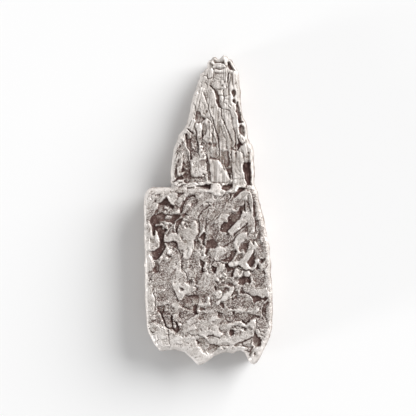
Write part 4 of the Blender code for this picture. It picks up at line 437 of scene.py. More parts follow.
# %% Flakes of the slab
SLAB_FLAKES = {
    "left rim band": (0.4,
        "-63 -62, -60.5 -62, -58 -66, -60.5 -70, -58 -74, -56.5 -80, -55 -84, -54 -90, -54.5 -98, "
        "-56 -101, -60 -100, -63 -100"),
    "corner plate": (0.35,
        "-61 22, -58 23, -50 23.5, -40 23, -36 21, -37.5 19.5, -35 18.5, -33 17, -31 15.5, -30.5 12, "
        "-33 8, -34.5 5.5, -37 8, -39.5 9.5, -40.5 12, -42 13, -44.5 11.5, -46 9.5, -47.5 8, -50 7, "
        "-50 4, -51 1.5, -53 -0.5, -55 -3.5, -57 -6.5, -59.5 -9.5, -62 -11, -63 0, -63 14"),
    "upper band": (0.35,
        "-36 21.5, -20 20.5, -8 20.5, -6 17.5, -10 16.5, -14 16.5, -18 15.5, -21 14.5, -23 12.5, "
        "-25 10.5, -27 8.5, -29.5 6.5, -30.5 9, -29 12.5, -30 14, -26 14.5, -23.5 16.5, -26 18, "
        "-30 17, -33 18.5, -36 20"),
    "left rim plate": (0.5,
        "-62 -14, -60 -12.5, -58.5 -13.5, -57.5 -15.5, -57 -20, -56.5 -22.5, -55.5 -24.5, "
        "-52.5 -24.5, -50.5 -26, -49 -28.5, -48.5 -32, -49 -35, -50 -37.5, -52.5 -39.5, -56 -40, "
        "-60 -40, -63 -40"),
    "lower left rim plate": (0.5,
        "-63 -46, -60 -44.5, -58 -47, -56 -50, -55 -53, -55 -56, -57.5 -59, -60.5 -61.5, -63 -61"),
    "pink flake": (-0.25,
        "-41 3, -39 3, -37.5 2, -36 0, -37 -2.5, -40 -3.5, -42 -3, -40.5 -0.5, -42 1"),
    "spindle flake": (-0.05,
        "-43.5 -8.5, -42 -6.5, -40 -5, -38 -5, -36 -6.5, -36 -8, -39 -8.5, -42 -9.5"),
    "pale ledge": (0.0,
        "-54 -16, -52.5 -14.5, -50 -14, -46.5 -13.5, -44 -14.5, -41 -15, -38.5 -15, -38.5 -16, "
        "-42 -16.5, -46 -15.5, -50 -15.5"),
    "star of chips": (-0.2,
        "-44 -27, -43 -24.5, -41 -22, -39.5 -19.5, -38 -16.5, -35.5 -14, -33.5 -12.5, -32.5 -13.5, "
        "-34 -16, -33.5 -18, -34.5 -20, -33.5 -23, -36 -22.5, -38.5 -24, -40.5 -26.5"),
    "pointed flake": (0.7,
        "-53 -20, -51.5 -21, -50.5 -23.5, -49.5 -26, -50 -28.5, -51.5 -26.5, -52.5 -23.5"),
    "ledge right of the hollow": (0.4,
        "-36.5 -3, -34.5 -1.5, -32 -0.5, -29.5 0.5, -28.5 -1.5, -29 -3.5, -33 -3.5"),
    "upper left tongue": (0.25, "-12 15.5, -6 16, -6 13.5, -9 11, -10.5 11.5, -12 13.5"),
    "forked ridge": (0.45,
        "-2 9, -0.5 10.5, 1.5 11, 3.5 11, 4 13, 3.5 15.5, 5 15.5, 5.5 12, 6 9, 7 7.5, 5.5 7, 4 8, "
        "1 8.5"),
    "grey facet": (0.1, "-1 -6, 1 -3.5, 3 -1.5, 6 -0.5, 9 -1, 9.5 -3, 8 -5, 5 -6, 2 -7, -0.5 -7"),
    "diagonal facet": (0.5,
        "13.5 -3.5, 15 1.5, 17 3.5, 18.5 7, 19.5 7.5, 19.5 4, 18.5 1, 16.5 -0.5, 15 -2.5"),
    "bank of the river": (0.25,
        "11 -5.5, 14 -5, 19 -3.5, 22.5 -5.5, 20.5 -8, 21 -10, 20 -12.5, 16 -12.5, 14 -14, 12.5 -14.5, "
        "12.5 -18.5, 10.5 -18, 10.5 -12"),
    "bird flake": (0.55,
        "-17.5 -15, -16 -12, -14 -10, -12 -10, -11 -12, -10 -16, -10 -20, -10.5 -24, -12 -26.5, "
        "-13.5 -29, -14 -33, -14 -37, -15 -40, -17 -44, -18.5 -46.5, -20.5 -48.5, -23 -48, -24.5 -46, "
        "-25 -43, -24.5 -40.5, -25.5 -39, -28 -39, -29.5 -37.5, -30 -35, -29.5 -33, -30 -31, "
        "-30.5 -27, -31.5 -24, -29 -21.5, -26 -19.5, -24 -18, -21 -17, -18 -17"),
    "hook flake": (0.5,
        "-44 -28.5, -43.5 -27.5, -41 -27, -39.5 -25, -38 -23.5, -35 -22.5, -32.5 -23, -31 -25, "
        "-30 -28, -29.5 -31, -30.5 -32.5, -32 -31, -34 -30, -38 -30.5, -40.5 -31, -42 -31.5"),
    "long leaf": (0.35,
        "-38.5 -42, -36 -41, -33 -42, -29 -43, -28.5 -47, -28 -52, -27.5 -58, -26.5 -61, -25 -62, "
        "-23 -64, -21.5 -66.5, -21 -70, -20 -74, -18 -75.5, -17 -80, -20 -82, -22 -83.5, -24 -86, "
        "-26.5 -88.5, -28.5 -89.5, -30 -87.5, -31.5 -84, -33.5 -80, -36 -72, -38 -62, -40.5 -53"),
    "outer leaf": (0.1,
        "-40 -46, -42 -52, -46 -52, -48 -57, -48.5 -62, -53 -64, -57.5 -68, -57 -76, -52 -84, "
        "-49 -92, -40 -91, -34 -94, -31.5 -90, -33 -84, -36 -76, -38.5 -62"),
    "leaf under the shelf": (0.2,
        "-37 -94, -33 -92, -29.5 -91, -29 -94.5, -26.5 -97, -23 -99, -17 -100, -15.5 -101, "
        "-19 -102.5, -26 -102.5, -31 -103, -31.5 -108, -34 -110, -34 -105, -37 -102"),
    "flake beside the bird": (0.4,
        "-3.5 -12.5, -2.5 -14, -4 -17.5, -4.5 -22, -8 -26.5, -9.5 -26, -7 -22.5, -5.5 -17"),
    "thin blade": (0.2, "0 -27.5, -1 -29.5, -1.5 -32, -2.5 -35, -3 -34, -2.5 -31, -1 -28"),
    "bright chip": (0.3, "-10 -27, -7.5 -28.5, -5.5 -30, -5.5 -32.5, -7.5 -32.5, -9.5 -30"),
    "upright flake": (0.6,
        "-4.5 -37.5, -3 -37, -2 -38, -2 -42, -2.5 -46, -4.5 -49.5, -7 -48.5, -6.5 -46, -4 -44.5, "
        "-4.5 -41.5, -7 -41"),
    "middle flake": (0.25,
        "2 -38.5, 6 -38.5, 9 -37.5, 11.5 -36, 13.5 -37.5, 18 -37, 22 -35, 24.5 -34.5, 26 -36, "
        "25.5 -39.5, 22.5 -41.5, 22 -44, 18 -47, 13 -49, 11 -49.5, 5 -50, 3.5 -47, 3.5 -44, 1.5 -42"),
    "rod": (0.8,
        "20.5 -21, 22 -19, 24.5 -17, 27 -14.5, 30 -11.5, 33 -9, 36.5 -8.5, 39.5 -9.5, 39 -12, "
        "35.5 -15.5, 33 -18, 30 -20, 27 -22.5, 25 -25, 23 -25"),
    "plateau behind the rod": (0.35,
        "34 -3, 35.5 -1, 37 -2, 38.5 -1.5, 40 -2, 42.5 -1.5, 44.5 -2.5, 46 -8, 47 -13, 47 -20.5, "
        "46 -22, 41 -22.5, 40.5 -16, 40 -10, 37 -8.5, 33.5 -9, 33 -6"),
    "chip under the plate": (0.35, "33 5.5, 34 4.5, 35 4, 36.5 8, 37 10, 35.5 9, 34 7"),
    "corner facet": (0.05, "43 20.5, 45.5 22.5, 48.5 21.5, 50 18, 50 16.5, 46 15.5, 44.5 16.5"),
    "antler, upper limb": (0.6,
        "29 -26, 32 -24, 36 -22.5, 39.5 -21.5, 40 -25, 39 -29, 36 -31.5, 33 -33.5, 31 -36, 30.5 -39, "
        "31 -41, 34 -42.5, 32 -43.5, 29.5 -44.5, 28.5 -47, 27 -49.5, 25.5 -50.5, 27 -46.5, 29 -43, "
        "29 -40, 27 -37, 26 -32, 27.5 -29"),
    "antler, lower limb": (0.85,
        "21 -53, 24 -52, 29 -51, 33 -50, 35 -49.5, 38 -52, 39.5 -53, 42 -55.5, 44 -57.5, 46.5 -57, "
        "49 -57, 47.5 -59, 44.5 -60, 41.5 -58.5, 38 -58.5, 36 -58.5, 33.5 -56, 30.5 -54.5, 27 -56, "
        "22.5 -56.5, 21 -55"),
    "antler, diagonal limb": (0.9,
        "33 -50, 36.5 -46.5, 38 -43, 40.5 -40.5, 43 -39.5, 45.5 -40, 45.5 -43, 43.5 -46, 41 -49, "
        "39.5 -51.5, 38.5 -54, 35 -52"),
    "antler, star": (0.75,
        "41 -39.5, 41.5 -35, 42 -32.5, 43.5 -31, 45 -33, 47 -35, 47 -31.5, 48.5 -30.5, 49.5 -33, "
        "51 -37, 49.5 -39, 46 -40, 43 -40"),
    "flake under the antler": (0.6,
        "27 -60, 28.5 -58.5, 31 -59.5, 33 -61, 34.5 -60.5, 35.5 -62, 34 -64.5, 33 -67.5, 30 -66, "
        "27 -66.5, 26 -64"),
    "oval knob": (0.7, "37.5 -61, 40 -60, 42 -61, 43 -63.5, 41.5 -66, 38.5 -66, 36.5 -65, 36 -63"),
    "arch flake": (0.1, "4.5 -53.5, 7 -52.5, 9.5 -53, 10 -55, 8.5 -57, 6.5 -56, 5 -55"),
    "flake right of the red pit": (0.55,
        "10 -52.5, 12.5 -54, 16 -53, 17 -56, 16 -59, 13 -60.5, 10.5 -61, 9.5 -63.5, 8.5 -61, 9 -58, "
        "11 -56"),
    "smooth grey flake": (0.15,
        "-5 -62, 2 -63, 8 -64, 9 -70, 7 -75, 6 -84, 1 -85, -2 -80, -9 -79, -8 -70"),
    "nodule over the ridge": (0.35,
        "9 -81, 11 -79.5, 13.5 -80, 15 -82, 14.5 -85.5, 11.5 -88.5, 9 -87.5, 8 -84"),
    "white Y": (0.6,
        "0.5 -85.5, 2 -88, 2.5 -92, 2 -94.5, -2 -95, -6 -95.5, -9.5 -94.5, -9.5 -93, -5 -93.5, "
        "-1.5 -92, 0 -89"),
    "diagonal ridge": (0.8,
        "8.5 -91.5, 10 -90, 13 -88.5, 15.5 -85.5, 16.5 -83.5, 20 -81.5, 22 -79, 22 -76.5, 25.5 -75.5, "
        "26 -79, 24.5 -82, 22.5 -85, 24 -87, 22 -89, 18 -90, 14.5 -90.5, 11.5 -93, 9.5 -94.5"),
    "big pale flake": (0.45,
        "-26 -121.5, -25 -118, -25.5 -115, -24 -113, -20.5 -109.5, -18 -107.5, -14 -105.5, -10 -104, "
        "-9 -108, -7.5 -110.5, -5 -109.5, -0.5 -109, 5 -106, 9.5 -103, 9.5 -107, 16 -107.5, 12 -112, "
        "11 -118, 12 -120, 15.5 -121, 15 -125, 12 -126, 9 -125.5, 5 -124.5, 2 -124, -1.5 -125, "
        "-3.5 -127, -6 -127, -7.5 -125, -9 -124, -13 -124, -17 -123.5, -23 -124"),
    "long pale ridge": (0.75,
        "12 -118.5, 16 -118.5, 21 -116.5, 26 -114.5, 30 -114.5, 34 -115.5, 38 -116, 42 -114.5, "
        "45 -117, 47 -118, 48 -112, 47 -109.5, 43 -109.5, 41.5 -112, 38 -114, 34 -111.5, 28 -111, "
        "22 -111.5, 19 -113, 15 -112.5, 12 -114.5"),
    "pale ledge over the band": (0.35,
        "19 -101, 21 -99, 25 -98, 30 -98.5, 35 -99.5, 42 -99, 44.5 -96.5, 45 -98, 43.5 -101, 38 -101, "
        "30 -100.5, 26 -99.5"),
    "right ledge": (0.5,
        "43 -79.5, 46 -78.5, 52 -79, 58 -77.5, 62 -78, 62.5 -86, 61 -87, 58.5 -85.5, 56 -87, 53 -85, "
        "50 -84, 46 -84.5, 43.5 -82.5"),
    "small ledge flake": (0.35, "48 -100, 50 -98.5, 53 -99, 54 -101, 52 -103, 48 -102"),
    "slab of the lower right": (0.15,
        "15 -124, 20 -126, 28 -125, 36 -122, 45 -119, 47 -121, 45.5 -125, 40 -127.5, 34 -130.5, "
        "28 -134, 25.5 -137, 20 -140, 12 -140, 11 -134, 0 -131, 1 -127, 10 -128"),
    "blade in the pit": (-0.3, "45 -130.5, 46 -131, 45.5 -134, 45 -134.5, 45 -132"),
    "island of the wedge": (-0.4,
        "35.5 -133, 37 -131, 40 -129.5, 43.5 -128.5, 43.5 -131, 42.5 -134, 41.5 -136, 38.5 -135.5, "
        "36 -135"),
    "bottom lobe": (0.35,
        "-38 -138, -30 -128, -22 -126, -13.5 -126, -12.5 -130, -10 -133.5, -8 -136, -5.5 -141, "
        "0 -144, 5 -143.5, 2 -147, -4 -151, -10 -151.5, -15 -148, -20 -142.5, -28 -139"),
    "lower left plateau": (0.35,
        "-60 -112, -55 -112, -50 -115, -43 -119.5, -40.5 -118.5, -37 -119.5, -34 -122, -30 -124.5, "
        "-27 -125, -24 -127, -30 -130, -38 -138, -46 -139, -51 -135, -56 -128, -59.5 -119"),
    "right foot": (0.4,
        "47 -136.5, 54 -136.5, 57 -131, 57.5 -124, 60.5 -118, 62.5 -121, 61 -128, 56 -138, 51 -147, "
        "46 -151.5, 43 -148, 43.5 -143, 46.5 -140"),
    "chips in the zigzag": (0.1, "40 -139.5, 42 -138, 43 -138.5, 41.5 -140.5"),
    "strip right of the plate": (0.5,
        "41 18.5, 44.5 15.5, 45.5 10, 45.5 3, 46 -4, 47 -12, 46.5 -20, 44.5 -20, 44 -10, 43.5 -2, "
        "43 4, 42.5 10"),
    "plate in the channel": (-0.35,
        "-45 -101.5, -43 -100, -41 -101.5, -39.5 -105, -38 -108, -37.5 -112, -36 -116, -37.5 -117.5, "
        "-40 -116.5, -42.5 -112.5, -43.5 -108, -45.5 -104"),
    "field under the leaf": (-0.3,
        "-43 -95.5, -40 -94.5, -36.5 -94, -34 -97, -33.5 -102, -34.5 -105, -37 -105.5, -40 -106.5, "
        "-42.5 -104, -42 -101, -43 -98"),
    "bright wedge": (0.6,
        "-36 -73, -33.5 -80, -31.5 -84, -30 -87.5, -28.5 -89.5, -26.5 -88.5, -24 -86, -22 -83.5, "
        "-20 -82, -17 -80, -14 -76, -12 -74, -13 -70, -15 -73, -18 -75.5, -20 -74, -23 -72, -28 -72, "
        "-32 -73"),
    "ledge of the hollow": (-0.15,
        "-48 -12, -44 -11.5, -41 -12, -37.5 -12, -36.5 -13.5, -38.5 -14.5, -42 -13.5, -46 -13.5, "
        "-48.5 -13.5"),
    "oval top of the bird": (0.8,
        "-16.5 -14, -14.5 -11.5, -12.5 -11, -11 -14, -11 -19, -11.5 -24, -13.5 -27, -15.5 -25, "
        "-16.5 -20"),
    "white flake under the hook": (0.3,
        "-41 -37, -39.5 -36.5, -38.5 -38.5, -38 -41, -38.5 -43, -40 -43, -41 -40"),
    "corner plate of the rim": (0.5,
        "28.5 13.5, 30.5 15.5, 33 17.5, 36 19.5, 38.5 20.5, 41 19, 41.5 15, 40.5 11, 38.5 9.5, 37 11, "
        "34 9.5, 31.5 11, 30 12"),
    "wedge in the leaf": (-0.5,
        "-28 -76, -27 -77, -25 -77.5, -23.5 -79.5, -25.5 -80, -27.5 -81, -28 -79"),
    "second island of it": (-0.55, "30.5 -134.5, 33.5 -133, 34 -135, 32 -135.5"),
}

# %% [markdown]
# Grooves, ridges and dots of the slab
#
# Cracks and the gaps beside flakes are lines, sorted by their width in grid steps and their depth in
# millimetres; a semicolon starts a new line. Slivers and sharp edges are the same with a height. Pores and
# nodules are dots with a radius and a depth or height.

# %% Grooves of the slab
SLAB_GROOVES = {
    "Hair cracks, faint": (0.85, -0.35,
        "19.5 7.5, 19.5 4.5, 18.5 1.5, 18 -1; 15.5 4.5, 17 6, 18 7.5; -20.5 -26, -18 -28.5, "
        "-16 -29.5; -60.5 -90, -60.5 -92, -59.5 -95; -56 -110.5, -50 -111.5, -46 -114; -54.5 -112.5, "
        "-49 -115.5, -43 -119.5; 53 -91.5, 53 -95, 52.5 -98.5"),
    "Hair cracks, low": (0.85, -0.5,
        "0.5 16.5, 2.5 16.5, 6 15.5, 8.5 14.5, 13 14, 15 13.5, 17 15; -25.5 -40, -26 -43, "
        "-25.5 -46.5; -6.5 -42, -6 -43.5, -5 -45; 4 -57.5, 1.5 -59, 0.5 -60.5, 2 -61.5, "
        "3.5 -62; 10 -100.5, 10.5 -104; -39.5 -37.5, -36.5 -39, -33 -41, -31 -41; -49 -13, -45 -13, "
        "-41 -13.5, -38 -13; -47.5 -16, -44.5 -15.5, -41.5 -15.5, -38.5 -17; -39.5 -24, -37 -21, "
        "-35 -18.5"),
    "Hair cracks, middling": (0.85, -0.6,
        "-29.5 -67, -29.5 -70; 35.5 -60, 35.5 -62.5, 35 -65; -42.5 -26.5, -40 -22.5, -37.5 -19, "
        "-35.5 -16"),
    "Hair cracks, strong": (0.85, -0.75, "37.5 9, 37.5 5, 37.5 1.5, 37.5 -2"),
    "Fine cracks, faint": (1.05, -0.35, "-58 13.5, -57 11.5, -56.5 11"),
    "Fine cracks, low": (1.05, -0.5,
        "-8 -3.5, -5.5 -3.5; 8.5 -19, 7.5 -20.5, 5.5 -22; 46.5 -39.5, 47 -43.5; 45.5 -97.5, "
        "45.5 -102; -19.5 -67.5, -17.5 -67, -14.5 -67.5; -44.5 -124.5, -42 -123.5, -39.5 -124, "
        "-36 -123; 17.5 -107.5, 19.5 -110.5, 23 -111, 25 -110"),
    "Fine cracks, middling": (1.05, -0.6,
        "0.5 7.5, 1 6, 2.5 4; -29 -40, -28.5 -43, -29 -45.5; 11.5 -49, 12 -51; 48 -10, 48.5 -18, "
        "47.5 -23; 48.5 -108.5, 49 -112, 48.5 -117, 47.5 -120.5; 41.5 -109.5, 44.5 -108.5, 48 -108.5, "
        "49 -111"),
    "Fine cracks, strong": (1.05, -0.75,
        "-3.5 7.5, 0 7.5, 3 7.5; 30.5 -58.5, 34 -59, 37 -60, 40.5 -59, 42.5 -59.5, 43.5 -62, "
        "46 -60.5, 49.5 -57.5"),
    "Narrow cracks, faint": (1.25, -0.35,
        "17 -25.5, 14 -28.5, 11.5 -31; -58 5, -55.5 6.5, -53.5 9; -50 11, -46 14, -42 15; -35 -123.5, "
        "-34.5 -126, -33 -127.5"),
    "Narrow cracks, low": (1.25, -0.5,
        "17 15, 15 13.5, 13 12; 12 -5, 10 -7.5, 8 -10, 5.5 -13, 4.5 -16; -41.5 -86, "
        "-40.5 -89; 16.5 -60.5, 18.5 -63, 20.5 -65, 22 -67.5; 3 -86.5, 3 -91, 3.5 -94; -57 -103.5, "
        "-54.5 -103, -51.5 -103.5; -53 -106.5, -50 -106.5; 33 -6, 31.5 -9.5, 28 -12.5, 25 -15.5, "
        "22 -18, 20 -20.5; 16.5 -104.5, 18.5 -108.5, 20 -111.5, 22.5 -110.5; 46.5 -114.5, 47.5 -117, "
        "47 -119.5, 47.5 -122.5"),
    "Narrow cracks, middling": (1.25, -0.6,
        "-18 -10.5, -16.5 -9.5, -14 -9, -11 -10; -25.5 -47, -22.5 -49.5, -21 -50, -19 -49, -18 -47, "
        "-15.5 -43.5; -26.5 -51, -27 -54, -26.5 -57, -27 -61; -24 -61, -22.5 -63, -22 -65.5, -21 -67, "
        "-21 -70, -20.5 -72.5; -57 15, -55 17, -53 18.5; 30.5 -1.5, 27 -2, 24.5 -1.5, 23.5 -4, "
        "21 -7.5, 21.5 -10.5, 20 -13, 16 -13, 13 -15.5, 13 -18.5; -31.5 -22.5, -32.5 -19.5, "
        "-31.5 -17; -18 -115.5, -15 -113, -11 -111.5, -8.5 -111; -18.5 -78.5, -15.5 -76.5, -12 -75, "
        "-10.5 -77.5, -12.5 -80.5, -10.5 -83; 26 -135.5, 28.5 -133.5, 32 -131.5; -57.5 -124.5, "
        "-56 -123.5, -54.5 -124.5; -51.5 -126, -51 -128, -51.5 -130, -53 -131.5, "
        "-53 -134; -20.5 -142, -18.5 -143.5, -16 -145; -2 -134.5, 3 -134, 6 -133.5, 9.5 -135.5, "
        "12 -135.5, 16.5 -134.5, 21 -135; 12.5 -120, 15 -122, 18 -121, 21 -119.5, 25.5 -116.5, "
        "28.5 -116, 28.5 -118; 51.5 -117.5, 52.5 -120, 55.5 -120.5, 58 -121.5"),
    "Narrow cracks, strong": (1.25, -0.75,
        "-34 -80, -32 -84, -30.5 -87.5, -29.5 -90.5; -59.5 -62.5, -57.5 -61, -56 -61.5; -55 -63, "
        "-56.5 -65.5, -58.5 -68.5, -61 -70; -55 -83, -53.5 -86, -52.5 -89, -54 -91, -53 -94, "
        "-53.5 -98.5; 39 -18, 37 -19.5, 35 -21; 38 -6, 35.5 -7.5; 40.5 14, 40.5 11.5, 41 8.5, "
        "41.5 5.5, 42.5 2, 43 -0.5; 46 -32, 46 -34.5; 27 -135.5, 31 -132.5, 37 -130, "
        "45 -126; -20 -85.5, -15 -85.5, -11 -84.5; 57.5 -93, 55.5 -97, 55 -101, "
        "55.5 -104.5; -40 -119.5, -39 -122, -40 -125.5, -38.5 -128, -39 -131, -37.5 -134, "
        "-38.5 -138; -14 -147, -11.5 -147, -8 -146; -20.5 -122.5, -15 -124, -9 -124, -6.5 -126, "
        "-3.5 -127.5, -0.5 -129, 0.5 -131"),
    "Narrow cracks, very strong": (1.25, -0.95,
        "31 -55.5, 33 -56.5, 34.5 -57.5; -36.5 -104.5, -37 -107.5, -36.5 -111, -35.5 -114.5, "
        "-33.5 -119.5"),
    "Open cracks, low": (1.55, -0.5, "46.5 -142.5, 48 -144, 46.5 -145"),
    "Open cracks, middling": (1.55, -0.6,
        "-31 16, -28 15.5, -24.5 16.5; -11 -103.5, -14 -104.5, -17.5 -106.5, -21 -109; 34.5 -110.5, "
        "35.5 -112, 38.5 -113, 41 -111.5, 41.5 -109.5"),
    "Open cracks, strong": (1.55, -0.75,
        "-1.5 -9, -1.5 -13, -2.5 -17, -2.5 -21; -8 -36.5, -7 -38, -4.5 -37.5; 15 -80, 15 -84, 13 -87, "
        "11 -89; 27 -109.5, 30 -110, 34 -109.5, 36 -112, 39 -113, 41 -110.5; -25 -96.5, -22 -97, "
        "-18 -98; -48 -101, -46.5 -105, -44.5 -108.5, -43.5 -112.5, -41.5 -116, "
        "-39 -118; -33.5 -110.5, -32 -112.5, -30.5 -116; -59.5 -118, -58 -119.5, -57.5 -121.5, "
        "-55.5 -122, -54 -121; -1 -126, 1 -124.5, 2.5 -125, 4.5 -124, 6 -125, 10.5 -125.5, "
        "11.5 -127; 34 -117.5, 35 -116, 37 -117, 36.5 -119, 39 -119.5; 53.5 -124, 55.5 -124, 58 -126.5"),
    "Open cracks, very strong": (1.55, -0.95,
        "22.5 15.5, 22.5 12, 21 10, 20.5 8.5; 3.5 -54.5, 4.5 -52.5, 6.5 -51, 9 -51, 12.5 -51, "
        "14.5 -52.5, 16 -52.5"),
    "Broad cracks, middling": (2.1, -0.6, "-43 -32, -39 -32, -35.5 -31, -33 -32, -31 -34"),
    "Broad cracks, strong": (2.1, -0.75,
        "-9.5 -10.5, -8.5 -13, -8.5 -16.5, -8.5 -20, -9.5 -24; 30.5 -24.5, 28 -26.5, 26.5 -29.5, "
        "23 -32, 20 -35, 16 -37; 7.5 -76.5, 8.5 -79.5; -11 -129, -9.5 -131, -10 -132.5"),
    "Broad cracks, very strong": (2.1, -0.95,
        "2 5, -1 3, -3.5 1, -6 -1, -7.5 -3.5, -9 -6, -9.5 -8.5; 39.5 -13, 38.5 -15, 34.5 -18, "
        "31.5 -21, 28.5 -23.5, 26.5 -25.5"),
}

# %% Ridges, pores and nodules of the slab
SLAB_RIDGES = {
    "Hair edges, low": (0.85, 0.4, "11 7.5, 13 9, 15 10.5; 22.5 10, 23.5 12, 25 14"),
    "Hair edges, middling": (0.85, 0.5, "-38.5 -23, -36 -19.5, -34 -15.5, -32.5 -13"),
    "Fine edges, faint": (1.05, 0.3,
        "46 -8, 47 -13, 47 -20.5, 46 -22; 21 -21.5, 23 -24.5, 25 -25.5; -9 -100, -9 -97, -7 -95.5, "
        "-4 -95.5"),
    "Fine edges, low": (1.05, 0.4,
        "1.5 7, 3 5, 5 3, 8 1; -20 -68, -18 -66.5, -14 -66.5; 0 -56.5, 3 -56; 16.5 -63, 18 -64.5, "
        "19.5 -66"),
    "Fine edges, middling": (1.05, 0.5, "-31.5 -10.5, -29 -9, -27 -7.5"),
    "Fine edges, strong": (1.05, 0.6, "-43.5 -26, -41.5 -23, -39.5 -20.5, -38 -17.5, -35 -14.5"),
    "Narrow edges, faint": (1.25, 0.3,
        "-9.5 0, -7 2.5, -4 4.5, -1 6; -30.5 -58, -34 -66, -35.5 -74, -33 -80; -29 -89, -25.5 -86.5, "
        "-22.5 -83; 21 -96.5, 26 -95, 29.5 -92.5, 34 -91; 56 -90.5, 52.5 -93, 54 -98"),
    "Narrow edges, middling": (1.25, 0.5, "42 8.5, 42.5 5, 43.5 1, 44.5 -2"),
    "Narrow edges, strong": (1.25, 0.6, "-48 -47.5, -46.5 -46"),
    "Open edges, faint": (1.55, 0.3, "-13 -151, -8 -151.5, -3 -149.5, 2 -146"),
    "Open edges, low": (1.55, 0.4,
        "-33.5 -29.5, -31 -31, -30 -31.5; -15 -69.5, -13 -71.5, -12.5 -74, -15 -77; -51 -113.5, "
        "-46 -116.5, -42 -119"),
    "Open edges, middling": (1.55, 0.5, "3 -14, 5 -12, 6.5 -9.5, 8.5 -7, 11 -4.5"),
    "Open edges, strong": (1.55, 0.6, "41 18, 43 16.5, 44.5 13, 45 8, 45 3, 44.5 -2"),
    "Broad edges, faint": (2.1, 0.3,
        "-50.5 4, -45.5 9.5, -41.5 14.5, -38 11, -37 8, -33.5 4.5, -33 0; -61 -11, -57.5 -5, "
        "-53.5 -0.5, -51 3.5"),
    "Broad edges, low": (2.1, 0.4, "-43 -118, -41 -118"),
}

SLAB_PITS = (
    "-49 14.6 1.6 .7, -47.6 15.8 1.2 .5, -53.3 8.8 1.1 .5, -36.3 18.8 1.4 .6, -33.4 17.7 1 .5, "
    "-29.3 13.8 1.3 .4, -52.8 14.8 1.3 .3, -37.5 13.5 1.6 .25, -43.2 5.6 .9 .5, -41.5 6 .8 .5, "
    "-31.5 3.6 1 .3, -21.2 -1.3 1.4 .4, -25.5 -11.3 1 .4, -22.6 -11.5 .9 .5, -24.8 -17.5 1 .4, "
    "-16 18.5 .9 .3, -8.6 17.6 .9 .3, 7.6 12.7 1.5 .7, 0.5 -0.6 1 .4, -58.7 -28.5 1 .4, "
    "-52.3 -36 1.6 .3, -25 -28.6 2.4 .3, -27.6 -35.5 1 .3, -21 -38.6 1 .4, -18 -34.6 1.2 .3, "
    "-49.6 -48.4 1.2 .6, -33 -53 1.5 .25, 33 -15.5 1.1 .4, 36.4 -14.4 .9 .3, 27.4 2.4 2 .4, "
    "22 2.4 1.2 .3, 32.5 -40.6 .9 .6, 28.5 -41.3 1 .7, 46.5 -33.5 .9 .3, 32.5 -62.6 1.5 .5, "
    "58 -48.6 1.6 .7, 54.3 -51.5 2 .7, 54.8 -49.3 1.2 .4, 55.5 -62 1.6 .4, 57 -62.5 1.2 .3, "
    "57 -71.5 1.3 .3, 58 -76 1.4 .3, 13 -68.4 1.6 .6, 9.2 -71.6 1.5 .6, 14 -72 1.2 .5, "
    "16.5 -71.5 .8 .4, 11.5 -75 1.4 .4, 26.5 -68.4 1.1 .5, 22 -64 1.2 .3, 23 -74.5 2.2 .5, "
    "20.5 -72.8 1.2 .3, -11.8 -72.6 1.3 .6, -12.2 -76.6 1 .4, 13.5 -62 1.4 .4, 10.5 -95 .8 .5, "
    "19.4 -94.8 1 .4, -6.6 -118.6 1 .4, 0.6 -118.6 1 .4, 4 -118.4 .7 .3, 5 -111.2 1 .5, 37 -118 2 .5, "
    "35 -116.6 1.3 .4, 11.4 -136.2 1.3 .6, 15 -134.5 .9 .4, 20.6 -134.5 .9 .4, 17 -138 .9 .3, "
    "25 -138.4 .9 .4, 47 -143 1.3 .4, 56.6 -128.5 1 .3, -40.3 -120.5 1 .5, -40 -124.6 1 .3, "
    "-40 -136.8 1.2 .3, -27.5 -111 1.3 .5, -22.4 -111.6 1 .5, -25.3 -125.3 1 .5, -60 -73.6 1.4 .3, "
    "-51 -81.6 1.4 .35, -46.8 -81.2 1 .35, -47.6 -84 1 .35, -50.4 -87 1.2 .35, -46.6 -88.8 1.2 .35, "
    "-44 -82 1 .25, -55 -76 1.4 .2, -47.4 -61.5 .9 .35, -46.8 -65 1 .25, -38.4 -69 1 .3, "
    "-36 -68 .9 .3, -36 -64 1.2 .25, -46 -74.5 1.2 .25, -41 -75.8 1.3 .25, -57.6 -70 1.1 .3, "
    "-56.5 -97 1 .2, -44 -47 1.2 .4, -39.2 -46.6 1.4 .6, -41.4 -44.8 1.3 .5, -45.6 -50.2 1 .4, "
    "-22 -3.8 1.4 .5, -19.6 -4.4 1.2 .5, -21.6 -72 .9 .4, 24.3 -37 1.6 .4, 30 -33.6 1 .3, "
    "37.8 -29.5 1 .3, 21.5 -45.2 1.3 .35, 15 -45.5 1.2 .25, 2.6 -47.5 1.3 .3, -3.6 -52.5 1 .4, "
    "-12.6 -53.6 1 .4, -15.6 -51.4 1 .4, 28 -86.5 1.5 .5, 24.8 -88.5 1 .5, 30 -94.2 1 .4, "
    "35 -95.5 1.2 .3, 44.2 -93.2 1 .4, 57 -120.5 1.5 .4, -26.5 -9 1.2 .5, -23 -14.2 1.1 .5, "
    "-20.5 -12.5 1 .5, -27 -14.5 1 .5, -21.5 -16.3 .9 .4, -28.5 -105.5 1.2 .4, -25.3 -112.8 1.1 .5, "
    "-24.6 -106.6 1 .3, -20.4 -104.6 1 .3, -40 -97 1 .35, -37.4 -100 1 .35, -35.6 -97.4 .9 .3, "
    "-38.6 -103 1.1 .35, -4 -86.6 1 .3, -5.6 -89.4 1 .3, 14 -80 1.2 .3, 18 -78.6 1.1 .3, "
    "25.4 -88 1.2 .4, 27.8 -90.6 1 .35, 33 -93.6 1.1 .3, 36.4 -97 1 .3, 22 -98.4 .8 .4, "
    "24.6 -97.8 .8 .4, 27.4 -97.2 .8 .4, 30 -96.8 .8 .4, -38.4 -46.4 1 .4, -24.6 -5.4 1 .3, "
    "6.4 -119 .8 .3, -3 -118.8 .8 .3, -9 -131.6 1.2 .3"
)

